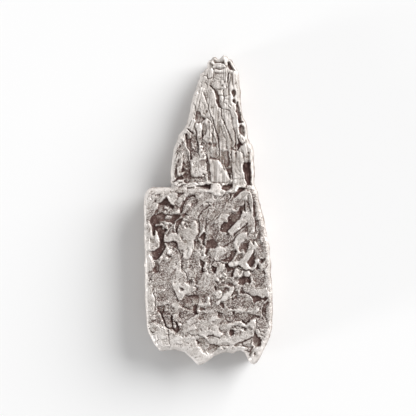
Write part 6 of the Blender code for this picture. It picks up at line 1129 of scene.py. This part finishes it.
# %% Fine relief
FIBRE_POINT = np.array([16.6, 217.0])
FIBRES_AROUND, FIBRES_ALONG = 118, 0.06  # fibres are many around that point and long towards it
FIBRE_SIZES = ((0.07, 1.5, 22), (0.05, 0.8, 23))  # height in mm, width, layer of noise
CRACK_SPACING, CRACK_WIDTH, CRACK_DEPTH = 2.8, 0.16, 0.12
LEAF_TURNS = (50, 80, 15)  # degrees, in the upper, middle and lower part of the slab
LEAF_SIZE, LEAF_STRETCH, LEAF_HEIGHT = 4.0, 2.0, 0.10
GRAIN_SIZE, GRAIN_HEIGHT = 1.5, 0.14
TOP_OF_FOOT, FADE_AT_FOOT = -116, 14
TOP_OF_SEAM, TOP_OF_LOBES = 24, 66


def lying(place, degrees, stretch):
    """The places turned by this angle and shortened along it, so that what is round there lies long."""
    turn = math.radians(degrees)
    along = place[:, 0] * math.cos(turn) + place[:, 1] * math.sin(turn)
    across = place[:, 1] * math.cos(turn) - place[:, 0] * math.sin(turn)
    return np.column_stack([along / stretch, across])


def at_the_foot(place):
    """How much a place belongs to the rubbed lowest part of the slab, from 0 to 1."""
    return smooth((TOP_OF_FOOT - place[:, 1]) / FADE_AT_FOOT)


def torn_to_fibres(place):
    """How much a place belongs to the fibres of the spur; the lobes at its lower left are grainy."""
    right_of_lobes = smooth((place[:, 0] + 2) / 4)
    above_lobes = smooth((place[:, 1] - TOP_OF_LOBES) / 8)
    return smooth((place[:, 1] - TOP_OF_SEAM) / 5) * np.maximum(right_of_lobes, above_lobes)


def in_deep_places(height):
    """How much a place lies at the smooth bottom of a hollow, from 0 to 1."""
    return smooth(-height / RELIEF_SHARE / 0.4 - 1.2)


def fine_relief(place, height):
    """Grains and small leaves on the slab and fibres on the spur, in mm."""
    drawn = shifted(place)
    granular = GRAIN_HEIGHT * grains(place, GRAIN_SIZE, 20) - 0.04 + 0.06 * lumps(place, 1.1, 21)
    upper, middle, lower = (leaves(lying(drawn, turn, LEAF_STRETCH), LEAF_SIZE, 40 + 3 * n)
                            for n, turn in enumerate(LEAF_TURNS))
    towards_lower = smooth((-66 - place[:, 1]) / 16)
    towards_upper = smooth((place[:, 1] + 36 + 0.4 * place[:, 0]) / 16)
    leafy = middle + (upper - middle) * towards_upper + (lower - middle) * towards_lower
    away = place - FIBRE_POINT
    around, distance = np.arctan2(away[:, 0], -away[:, 1]), np.hypot(*away.T)
    turned = np.column_stack([FIBRES_AROUND * around, FIBRES_ALONG * distance])
    cracks = np.clip(1 - np.abs(lumps(turned, CRACK_SPACING, 24)) / CRACK_WIDTH, 0, 1)
    fibrous = sum(height * lumps(turned, width, layer) for height, width, layer in FIBRE_SIZES)
    fibrous = fibrous - CRACK_DEPTH * cracks + 0.03
    fibrous += 0.12 * granular
    burnished = np.maximum(smooth((height / RELIEF_SHARE - 0.08) / 0.4), 0.7 * at_the_foot(place))
    on_slab = granular * (1 - 0.5 * burnished) + LEAF_HEIGHT * leafy * (1 - 0.3 * burnished)
    on_slab *= 1 - 0.6 * in_deep_places(height)
    return on_slab + (fibrous - on_slab) * torn_to_fibres(place)


fine_raster = fine_relief(raster_place, relief_raster.ravel()).reshape(relief_raster.shape)


def blurred(raster, radius):
    """The raster averaged three times over a square of this half side, which is close to a round blur."""
    reach = max(1, round(radius / RASTER))
    for axis in (0, 1) * 3:
        moved = np.moveaxis(raster, axis, 0)
        padded = np.pad(moved, ((reach + 1, reach), (0, 0)), mode="edge").cumsum(axis=0)
        raster = np.moveaxis((padded[2 * reach + 1:] - padded[:-2 * reach - 1]) / (2 * reach + 1), 0, axis)
    return raster


def read_raster(raster, place):
    """The raster's values at these places, blended between its points."""
    spot = np.clip((place - low_corner) / RASTER, 0, raster_size - 1.001)
    cell = np.floor(spot).astype(int)
    part = spot - cell
    x, y = cell.T
    lower = raster[y, x] * (1 - part[:, 0]) + raster[y, x + 1] * part[:, 0]
    upper = raster[y + 1, x] * (1 - part[:, 0]) + raster[y + 1, x + 1] * part[:, 0]
    return lower * (1 - part[:, 1]) + upper * part[:, 1]


proud_raster = relief_raster + fine_raster - blurred(relief_raster, 1.6)
crest_raster = relief_raster + fine_raster - blurred(relief_raster + fine_raster, 0.7)
print("stands proud by, in mm:", proud_raster.min().round(2), proud_raster.max().round(2))

# %% [markdown]
# The blank
#
# The outline is filled, thickened and rounded as a curve, then remeshed into small even faces. An even mesh
# takes relief well everywhere, including over the rounded edge, which a flat grid laid inside the outline
# wouldn't do.

# %% Round the blank and remesh it
VOXEL = 0.13 * MILLIMETRE
DENT_DEPTH = 0.20 * MILLIMETRE


def link(thing):
    bpy.context.scene.collection.objects.link(thing)
    return thing


def solid_copy(thing):
    """The object's shape, modifiers included, as a plain mesh."""
    bpy.context.view_layer.update()
    return bpy.data.meshes.new_from_object(thing.evaluated_get(bpy.context.evaluated_depsgraph_get()))


curve = bpy.data.curves.new("Outline of the piece", "CURVE")
curve.dimensions = "2D"
curve.fill_mode = "BOTH"
curve.extrude = SLAB_THICKNESS / 2 - EDGE_RADIUS
curve.bevel_depth = EDGE_RADIUS
curve.bevel_resolution = 3
curve.offset = DENT_DEPTH - EDGE_RADIUS
spline = curve.splines.new("POLY")
spline.use_cyclic_u = True
spline.points.add(len(OUTLINE) - 1)
for point, (x, y) in zip(spline.points, OUTLINE * GRID):
    point.co = (x, y, SLAB_THICKNESS / 2, 1)
blank = link(bpy.data.objects.new("Blank", curve))
piece = link(bpy.data.objects.new("meteorite_surface", solid_copy(blank)))
bpy.data.objects.remove(blank)

weld = piece.modifiers.new("Close the caps", "WELD")
weld.merge_threshold = 0.01 * MILLIMETRE
even = piece.modifiers.new("Even grain", "REMESH")
even.mode = "VOXEL"
even.voxel_size = VOXEL
piece.data = solid_copy(piece)
piece.modifiers.clear()
print("blank:", len(piece.data.vertices), "vertices")

# %% [markdown]
# Working the surface
#
# Each point of the blank is moved: the spur is thinned towards its tip, the face takes the drawn relief,
# the sides are drawn in below, dented and broken into low ledges and pits, and the back is hollowed around
# the flat land that the piece lies on. How far the surface faces up decides how much of the relief it
# takes, so the relief dies away over the worn rim.

# %% Move the points
RIM_WIDTH = 3.0
UNDERCUT = 1.1 * MILLIMETRE
REACH_OF_UNDERCUT = 14
LEVEL_OF_FEET, FEET_SHARE = -138, 0.3  # the feet are too narrow to be drawn in as far
LEDGE_DEPTH, LEDGE_HEIGHT, LEDGE_FLATNESS = 0.11 * MILLIMETRE, 1.7, 0.3
SIDE_PIT_DEPTH, SIDE_PIT_SIZE = 0.7 * MILLIMETRE, 3.5
BACK_HOLLOW_DEPTH = 0.5 * MILLIMETRE
CLEAR_OF_FLOOR = 0.005 * MILLIMETRE
ROOM_FOR_GRAINS = 0.1 * MILLIMETRE
BACK_LAND_CENTRE, BACK_LAND_HALF = np.array([0, -62]), np.array([34, 56])


def vertex_values(name, collection):
    """One row of three numbers for each point of the mesh."""
    values = np.empty(len(collection) * 3)
    collection.foreach_get(name, values)
    return values.reshape(-1, 3)


def inward(place):
    """Directions straight in from the nearest part of the outline."""
    across = depth_inside(OUTLINE, place + (1, 0)) - depth_inside(OUTLINE, place - (1, 0))
    along = depth_inside(OUTLINE, place + (0, 1)) - depth_inside(OUTLINE, place - (0, 1))
    return np.column_stack([across, along]) / (np.hypot(across, along)[:, None] + 0.3)


mesh = piece.data
place = vertex_values("co", mesh.vertices)
normal = vertex_values("vector", mesh.vertex_normals)
steps = place / GRID
flat = steps[:, :2].copy()
facing_up = smooth((normal[:, 2] - 0.25) / 0.6)
inside = depth_inside(OUTLINE, flat)

root = smooth((flat[:, 1] - SEAM[0]) / (SEAM[1] - SEAM[0]))
up_the_spur = np.clip((flat[:, 1] - SEAM[1]) / (SPUR_TIP - SEAM[1]), 0, 1)
spur = SPUR_THICKNESS_AT_ROOT + (SPUR_THICKNESS_AT_TIP - SPUR_THICKNESS_AT_ROOT) * up_the_spur
thickness = SLAB_THICKNESS + (spur - SLAB_THICKNESS) * root
place[:, 2] *= thickness / SLAB_THICKNESS

rim = smooth(inside / RIM_WIDTH + 0.25)
relief = read_raster(relief_raster, flat) * rim
fine = read_raster(fine_raster, flat)
place[:, 2] += (relief + fine) * MILLIMETRE * facing_up

facing_down = smooth((-normal[:, 2] - 0.6) / 0.3)
off_land = smooth(np.abs((flat - BACK_LAND_CENTRE) / BACK_LAND_HALF).max(axis=1) * 4 - 4)
hollow = smooth(1.6 * lumps(steps, 16, 5) + 0.3) + 0.3 * lumps(steps, 5, 6) ** 2
place[:, 2] += BACK_HOLLOW_DEPTH * hollow * off_land * facing_down

height = np.clip(place[:, 2] / thickness, 0, 1)
undercut = UNDERCUT * (1 - height) ** 1.5 + DENT_DEPTH * (1 + lumps(steps * (1, 1, 1.7), 9, 7))
undercut += 0.5 * DENT_DEPTH * (1 + lumps(steps * (1, 1, 2), 4, 8))
undercut += 0.25 * DENT_DEPTH * lumps(steps, 1.6, 9)
ledges = lumps(steps * (LEDGE_FLATNESS, LEDGE_FLATNESS, 1), LEDGE_HEIGHT, 33)
side_pits = np.clip(lumps(steps, SIDE_PIT_SIZE, 34) - 0.3, 0, 0.6)
below_rim = np.minimum(1, 3 * (1 - height))
undercut += (LEDGE_DEPTH * (1 + ledges) + SIDE_PIT_DEPTH * side_pits) * below_rim
undercut *= smooth(1 - inside / REACH_OF_UNDERCUT)
undercut *= 1 - (1 - FEET_SHARE) * smooth((LEVEL_OF_FEET - flat[:, 1]) / 8)
place[:, :2] += inward(flat) * undercut[:, None]

# %% [markdown]
# What the finish reads
#
# Two numbers are kept on every point. The tone says how bright the metal is, from dark oxide in a recess to
# a rubbed top: it follows the level of the place, how proud it stands against its close surroundings, and
# how near the rubbed rim it lies. It also holds painted light: the rim and the upper sides are painted paler
# on the left and lower left, the side turned away from the key lamp. The grain says how matt and grainy it
# is. Such attributes are kept when the mesh is thinned, and a material reads them on the surface itself, so
# the look stays the same from every side.

# %% Keep the numbers on the points
TONE_OF_LEVEL = points("-1.4 .13, -1 .21, -.6 .32, -.3 .40, 0 .49, .3 .59, .6 .66, 1 .71")  # drawn mm, tone
TONE_OF_FINE, TONE_OF_CREST, TONE_OF_SIDES, TONE_OF_RIM = 1.3, 1.2, 0.46, 0.82
PALER_SPUR, PALER_FOOT, PALER_EDGE = 0.08, 0.16, 0.10
# painted light, not wear: the rim and the upper sides are painted paler where the way inwards runs like
# this, which is on the left and lower left, the side away from the key lamp
PAINTED_LIGHT_SIDE = (0.82, 0.57)  # the rim is rubbed brightest where the way inwards runs like this


def keep_number(name, values):
    """Keeps one number for each point of the mesh under this name."""
    attribute = mesh.attributes.new(name, "FLOAT", "POINT")
    attribute.data.foreach_set("value", values.astype(np.float32))


proud = read_raster(proud_raster, flat)
crest = read_raster(crest_raster, flat)
depth_drawn = relief / RELIEF_SHARE
on_face = np.interp(depth_drawn, *TONE_OF_LEVEL.T)
on_face += TONE_OF_FINE * (fine - 0.03) + 0.3 * np.clip(proud, 0, 0.3) + 0.1 * np.clip(proud, -0.3, 0)
on_face += TONE_OF_CREST * np.clip(crest, -0.12, 0.12)
on_face += PALER_SPUR * smooth((flat[:, 1] - 70) / 20) + PALER_FOOT * at_the_foot(flat)
on_face += PALER_EDGE * smooth(1.7 - inside / 5)
# painted light: this weight is highest on the left and lower-left edges, which face away from the key lamp
painted_light_on_left = inward(flat) @ PAINTED_LIGHT_SIDE
on_rim = smooth(1.2 - inside / 3.2)
on_sides = TONE_OF_SIDES + 0.12 * lumps(steps, 6, 30) + 0.10 * lumps(steps, 2.2, 31)
on_sides += -0.18 * ledges - 0.6 * side_pits
# painted light: the upper sides are painted paler on the left, away from the key lamp
on_sides += (0.10 + 0.33 * painted_light_on_left) * smooth((height - 0.6) / 0.3)
# the rim is rubbed pale all round, and on the left it is painted paler still as painted light
tone = on_face + (TONE_OF_RIM + 0.18 * painted_light_on_left - on_face) * on_rim * 0.85
tone = on_sides + (tone - on_sides) * facing_up
rubbed = np.maximum(smooth((depth_drawn - 0.05) / 0.4), 0.7 * at_the_foot(flat))
smoother = (1 - 0.5 * rubbed) * (1 - 0.6 * torn_to_fibres(flat)) * (1 - 0.7 * on_rim * facing_up)
keep_number("grain", smoother * (1 - 0.55 * in_deep_places(relief)) * (0.4 + 0.6 * facing_up))
keep_number("tone", tone)

solid_low, solid_high = np.array(size_before)
solid_middle, room = (solid_low + solid_high) / 2, 0.999 * (solid_high - solid_low)
room[2] -= ROOM_FOR_GRAINS
place -= (place.min(axis=0) + place.max(axis=0)) / 2
place *= np.minimum(1, room / np.ptp(place, axis=0))
place += solid_middle
place[:, 2] += CLEAR_OF_FLOOR - place[:, 2].min()
mesh.vertices.foreach_set("co", place.ravel())
mesh.update()

MOST_TRIANGLES = 196_000
thin = piece.modifiers.new("Thin the flat parts", "DECIMATE")
thin.ratio = min(1, MOST_TRIANGLES / (2 * len(mesh.polygons)))
piece.data = solid_copy(piece)
piece.modifiers.clear()
piece.data.name = "meteorite_surface"
piece.data.shade_smooth()
print("surface:", len(piece.data.polygons), "faces, size in mm:", (1000 * np.ptp(place, axis=0)).round(2))

# %% [markdown]
# Weathered iron, cast and burnished
#
# The metal is matt grey where its grains show, rubbed to a pale silver sheen on every top and edge, and
# holds a reddish-brown oxide in its recesses. One number carries that: a tone from 0 in the deepest recess
# to 1 on a rubbed top, with painted light on the left of the rim and sides. It is the tone kept on the
# points, made uneven by a fine speckle and by broad blotches, and it steers the colour, the roughness and
# the metallic share together.

# %% Colours and one helper for nodes
def linear(hex_colour):
    """An sRGB hex colour as linear values, with full alpha."""
    channels = [int(hex_colour[i:i + 2], 16) / 255 for i in (1, 3, 5)]
    return [c / 12.92 if c <= 0.04045 else ((c + 0.055) / 1.055) ** 2.4 for c in channels] + [1.0]


def add_node(tree, kind, sockets=None, **settings):
    """Adds a node; sockets gives an input a value, or the output that feeds it."""
    node = tree.nodes.new(kind)
    for name, value in settings.items():
        setattr(node, name, value)
    for name, value in (sockets or {}).items():
        if isinstance(value, bpy.types.NodeSocket):
            tree.links.new(value, node.inputs[name])
        else:
            node.inputs[name].default_value = value
    return node


# %% The metal
TONE_COLOURS = (  # from the oxide in a recess to a rubbed top
    (0.00, "#4a3531"), (0.14, "#644b45"), (0.28, "#82716a"), (0.44, "#a19993"), (0.58, "#bab3ad"),
    (0.74, "#d3ccc7"), (0.88, "#e0dad5"), (1.00, "#ebe5e1"),
)
EARTH_COLOUR = linear("#6b6149")
SPECKLE, SPECKLE_SHARE = 0.21 * MILLIMETRE, 3.4  # size of a spot, how far it moves the tone
BLOTCH, BLOTCH_SHARE = 2.2 * MILLIMETRE, 0.6
EARTH_PATCH = 1.6 * MILLIMETRE
# Stops along the tone: how matt it is, how much earth it may hold, its roughness and its metallic share
MATT_AT_TONE = ((0.0, 0.7), (0.35, 1.0), (0.6, 1.0), (0.85, 0.5))
EARTH_AT_TONE = ((0.2, 0.0), (0.38, 0.4), (0.6, 0.0))
ROUGH_AT_TONE = ((0.0, 0.95), (0.5, 0.72), (0.9, 0.46), (1.0, 0.42))
METALLIC_AT_TONE = ((0.0, 0.0), (0.35, 0.1), (0.7, 0.25), (1.0, 0.3))
BUMP_STRENGTH, BUMP_HEIGHT = 0.5, 0.06 * MILLIMETRE

metal = bpy.data.materials.new("Weathered iron, cast and burnished")
metal.use_nodes = True
tree = metal.node_tree
shader = tree.nodes["Principled BSDF"]
where = add_node(tree, "ShaderNodeTexCoord").outputs["Object"]


def math_node(operation, first, second):
    """The output of one Math node."""
    return add_node(tree, "ShaderNodeMath", {0: first, 1: second}, operation=operation).outputs[0]


def noise(size, detail, roughness):
    """Noise from about -0.5 to 0.5 with spots of this size in metres."""
    texture = add_node(tree, "ShaderNodeTexNoise",
                       {"Vector": where, "Scale": 1 / size, "Detail": detail, "Roughness": roughness})
    return math_node("SUBTRACT", texture.outputs["Fac"], 0.5)


def ramp(driver, stops):
    """The driver passed through a Color Ramp with these positions, and colours or greys."""
    node = add_node(tree, "ShaderNodeValToRGB", {"Fac": driver})
    elements = node.color_ramp.elements
    while len(elements) < len(stops):
        elements.new(0.5)
    for element, (position, colour) in zip(elements, stops):
        element.position = position
        element.color = linear(colour) if isinstance(colour, str) else (colour, colour, colour, 1)
    return node.outputs["Color"]


kept_tone = add_node(tree, "ShaderNodeAttribute", attribute_name="tone").outputs["Fac"]
speckle = noise(SPECKLE, 3, 0.7)
kept_grain = add_node(tree, "ShaderNodeAttribute", attribute_name="grain").outputs["Fac"]
matt = math_node("MULTIPLY", ramp(kept_tone, MATT_AT_TONE), kept_grain)
speckled = math_node("MULTIPLY", math_node("MULTIPLY", speckle, SPECKLE_SHARE), matt)
blotched = math_node("MULTIPLY", noise(BLOTCH, 4, 0.5), BLOTCH_SHARE)
tone = math_node("ADD", math_node("ADD", kept_tone, speckled), blotched)

in_recess = ramp(tone, EARTH_AT_TONE)
in_patch = ramp(noise(EARTH_PATCH, 2, 0.5), ((0.0, 0.0), (0.12, 1.0)))
coloured = add_node(tree, "ShaderNodeMix", {0: math_node("MULTIPLY", in_recess, in_patch),
                                            6: ramp(tone, TONE_COLOURS), 7: EARTH_COLOUR}, data_type="RGBA")
tree.links.new(coloured.outputs[2], shader.inputs["Base Color"])
tree.links.new(ramp(tone, ROUGH_AT_TONE), shader.inputs["Roughness"])
tree.links.new(ramp(tone, METALLIC_AT_TONE), shader.inputs["Metallic"])
bump = add_node(tree, "ShaderNodeBump",
                {"Height": speckle, "Strength": BUMP_STRENGTH, "Distance": BUMP_HEIGHT})
tree.links.new(bump.outputs["Normal"], shader.inputs["Normal"])

piece.data.materials.clear()
piece.data.materials.append(metal)

# %% [markdown]
# Grains that stand out
#
# Single grains stand out of the matt metal like coarse sand. A node tree scatters them: points on the faces
# that look up and lie clear of the floor, more of them where the kept grain number is high; on each point a
# small flattened ball with its own size and tone; at the end everything is made real and gets the metal.
# The balls have twenty faces each, because there are thousands of them.

# %% A node tree that scatters grains
def random_between(tree, low, high, seed):
    node = add_node(tree, "FunctionNodeRandomValue", {2: low, 3: high, "Seed": seed}, data_type="FLOAT")
    return node.outputs[1]


def scattering(inputs):
    """A Geometry Nodes tree with these named inputs, given as name: (socket type, value)."""
    tree = bpy.data.node_groups.new("Scattered grains", "GeometryNodeTree")
    tree.interface.new_socket("Surface", in_out="INPUT", socket_type="NodeSocketGeometry")
    tree.interface.new_socket("Grains", in_out="OUTPUT", socket_type="NodeSocketGeometry")
    for name, (kind, _) in inputs.items():
        tree.interface.new_socket(name, in_out="INPUT", socket_type=kind)
    given = add_node(tree, "NodeGroupInput").outputs
    normal = add_node(tree, "GeometryNodeInputNormal").outputs[0]
    facing = add_node(tree, "ShaderNodeSeparateXYZ", {0: normal}).outputs["Z"]
    looks_up = add_node(tree, "FunctionNodeCompare", {0: facing, 1: 0.75},
                        operation="GREATER_THAN").outputs[0]
    position = add_node(tree, "GeometryNodeInputPosition").outputs[0]
    level = add_node(tree, "ShaderNodeSeparateXYZ", {0: position}).outputs["Z"]
    is_high = add_node(tree, "FunctionNodeCompare", {0: level, 1: given["Lowest level"]},
                       operation="GREATER_THAN").outputs[0]
    chosen = add_node(tree, "FunctionNodeBooleanMath", {0: looks_up, 1: is_high},
                      operation="AND").outputs[0]
    kept = add_node(tree, "GeometryNodeInputNamedAttribute", {"Name": "grain"},
                    data_type="FLOAT").outputs[0]
    share = add_node(tree, "ShaderNodeMath", {0: kept, 1: 3.0}, operation="POWER").outputs[0]
    density = add_node(tree, "ShaderNodeMath", {0: share, 1: given["Grains per square metre"]},
                       operation="MULTIPLY").outputs[0]
    points_on = add_node(tree, "GeometryNodeDistributePointsOnFaces",
                         {"Mesh": given["Surface"], "Selection": chosen, "Density": density,
                          "Seed": given["Seed"]})
    ball = add_node(tree, "GeometryNodeMeshIcoSphere", {"Radius": given["Grain radius"], "Subdivisions": 1})
    width = random_between(tree, 0.6, 1.3, 1)
    low = add_node(tree, "ShaderNodeMath", {0: width, 1: given["Flatness"]},
                   operation="MULTIPLY").outputs[0]
    scale = add_node(tree, "ShaderNodeCombineXYZ", {0: width, 1: width, 2: low}).outputs[0]
    grains_on = add_node(tree, "GeometryNodeInstanceOnPoints",
                         {"Points": points_on.outputs["Points"], "Instance": ball.outputs["Mesh"],
                          "Rotation": points_on.outputs["Rotation"], "Scale": scale}).outputs[0]
    for name, value in (("tone", random_between(tree, 0.1, 0.95, 2)), ("grain", 0.4)):
        grains_on = add_node(tree, "GeometryNodeStoreNamedAttribute",
                             {"Geometry": grains_on, "Name": name, "Value": value},
                             domain="INSTANCE", data_type="FLOAT").outputs[0]
    real = add_node(tree, "GeometryNodeRealizeInstances", {0: grains_on}).outputs[0]
    finished = add_node(tree, "GeometryNodeSetMaterial", {"Geometry": real, "Material": metal}).outputs[0]
    add_node(tree, "NodeGroupOutput", {0: finished})
    return tree


# %% Scatter the grains
GRAIN_INPUTS = {
    "Grain radius": ("NodeSocketFloat", 0.11 * MILLIMETRE),
    "Flatness": ("NodeSocketFloat", 0.7),
    "Grains per square metre": ("NodeSocketFloat", 6e6),
    "Lowest level": ("NodeSocketFloat", 1.0 * MILLIMETRE),
    "Seed": ("NodeSocketInt", SEED),
}
grain_piece = link(bpy.data.objects.new("meteorite_grains", piece.data))
scatter = grain_piece.modifiers.new("Scatter", "NODES")
scatter.node_group = scattering(GRAIN_INPUTS)
for socket in scatter.node_group.interface.items_tree:
    if socket.name in GRAIN_INPUTS:
        scatter[socket.identifier] = GRAIN_INPUTS[socket.name][1]
grain_piece.data = solid_copy(grain_piece)
grain_piece.modifiers.clear()
grain_piece.data.name = "meteorite_grains"
grain_piece.data.shade_smooth()
print("grains:", len(grain_piece.data.polygons) // 20, "of twenty faces each")

# %% [markdown]
# Frame, floor and light
#
# The fine surface stands for the plain solid. It lies on a plain pale floor in an even pale surround. One
# broad soft lamp from the upper right throws a long soft shadow to the left, and a weak low one lifts the
# left sides.

# %% Stand for the solid
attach(piece, "root")
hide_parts("meteorite")
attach(grain_piece, "root")

# %% Floor
FLOOR_SIDE = 3.0
floor_mesh = bpy.data.meshes.new("Floor")
half = FLOOR_SIDE / 2
corners = [(-half, -half, 0), (half, -half, 0), (half, half, 0), (-half, half, 0)]
floor_mesh.from_pydata(corners, [], [(0, 1, 2, 3)])
floor = link(bpy.data.objects.new("Floor", floor_mesh))
paper = bpy.data.materials.new("Pale matt paper")
paper.use_nodes = True
paper.node_tree.nodes["Principled BSDF"].inputs["Base Color"].default_value = linear("#f4f4f4")
paper.node_tree.nodes["Principled BSDF"].inputs["Roughness"].default_value = 0.95
paper.node_tree.nodes["Principled BSDF"].inputs["Specular IOR Level"].default_value = 0.0
floor_mesh.materials.append(paper)

# %% Light and surround
SURROUND_STRENGTH = 0.46
world = bpy.data.worlds.new("Pale surround")
world.use_nodes = True
world.node_tree.nodes["Background"].inputs["Color"].default_value = (1, 1, 1, 1)
world.node_tree.nodes["Background"].inputs["Strength"].default_value = SURROUND_STRENGTH
bpy.context.scene.world = world


def lamp(name, strength, spread, height, turn):
    """A soft lamp far away: degrees across, degrees above the floor, degrees turned from +X."""
    light = bpy.data.lights.new(name, "SUN")
    light.energy = strength
    light.angle = math.radians(spread)
    placed = link(bpy.data.objects.new(name, light))
    placed.rotation_euler = (0, math.radians(90 - height), math.radians(turn))


lamp("Broad soft key", 4.7, 50, 23, 35)
lamp("Low fill", 1.9, 14, 4, 200)

# %% Camera
PIXEL = 0.25 * MILLIMETRE
FRAME_WIDTH = 416 * PIXEL
LENS, SENSOR = 100.0, 36.0
LEVEL_OF_OUTLINE = 5 * MILLIMETRE
view = bpy.data.cameras.new("Camera")
view.lens = LENS
view.sensor_width = SENSOR
view.clip_start = 0.01
camera = link(bpy.data.objects.new("Camera", view))
camera.location = (-0.3 * PIXEL, 1.4 * PIXEL, LEVEL_OF_OUTLINE + FRAME_WIDTH * LENS / SENSOR)
bpy.context.scene.camera = camera
bpy.context.scene.view_settings.view_transform = "Standard"
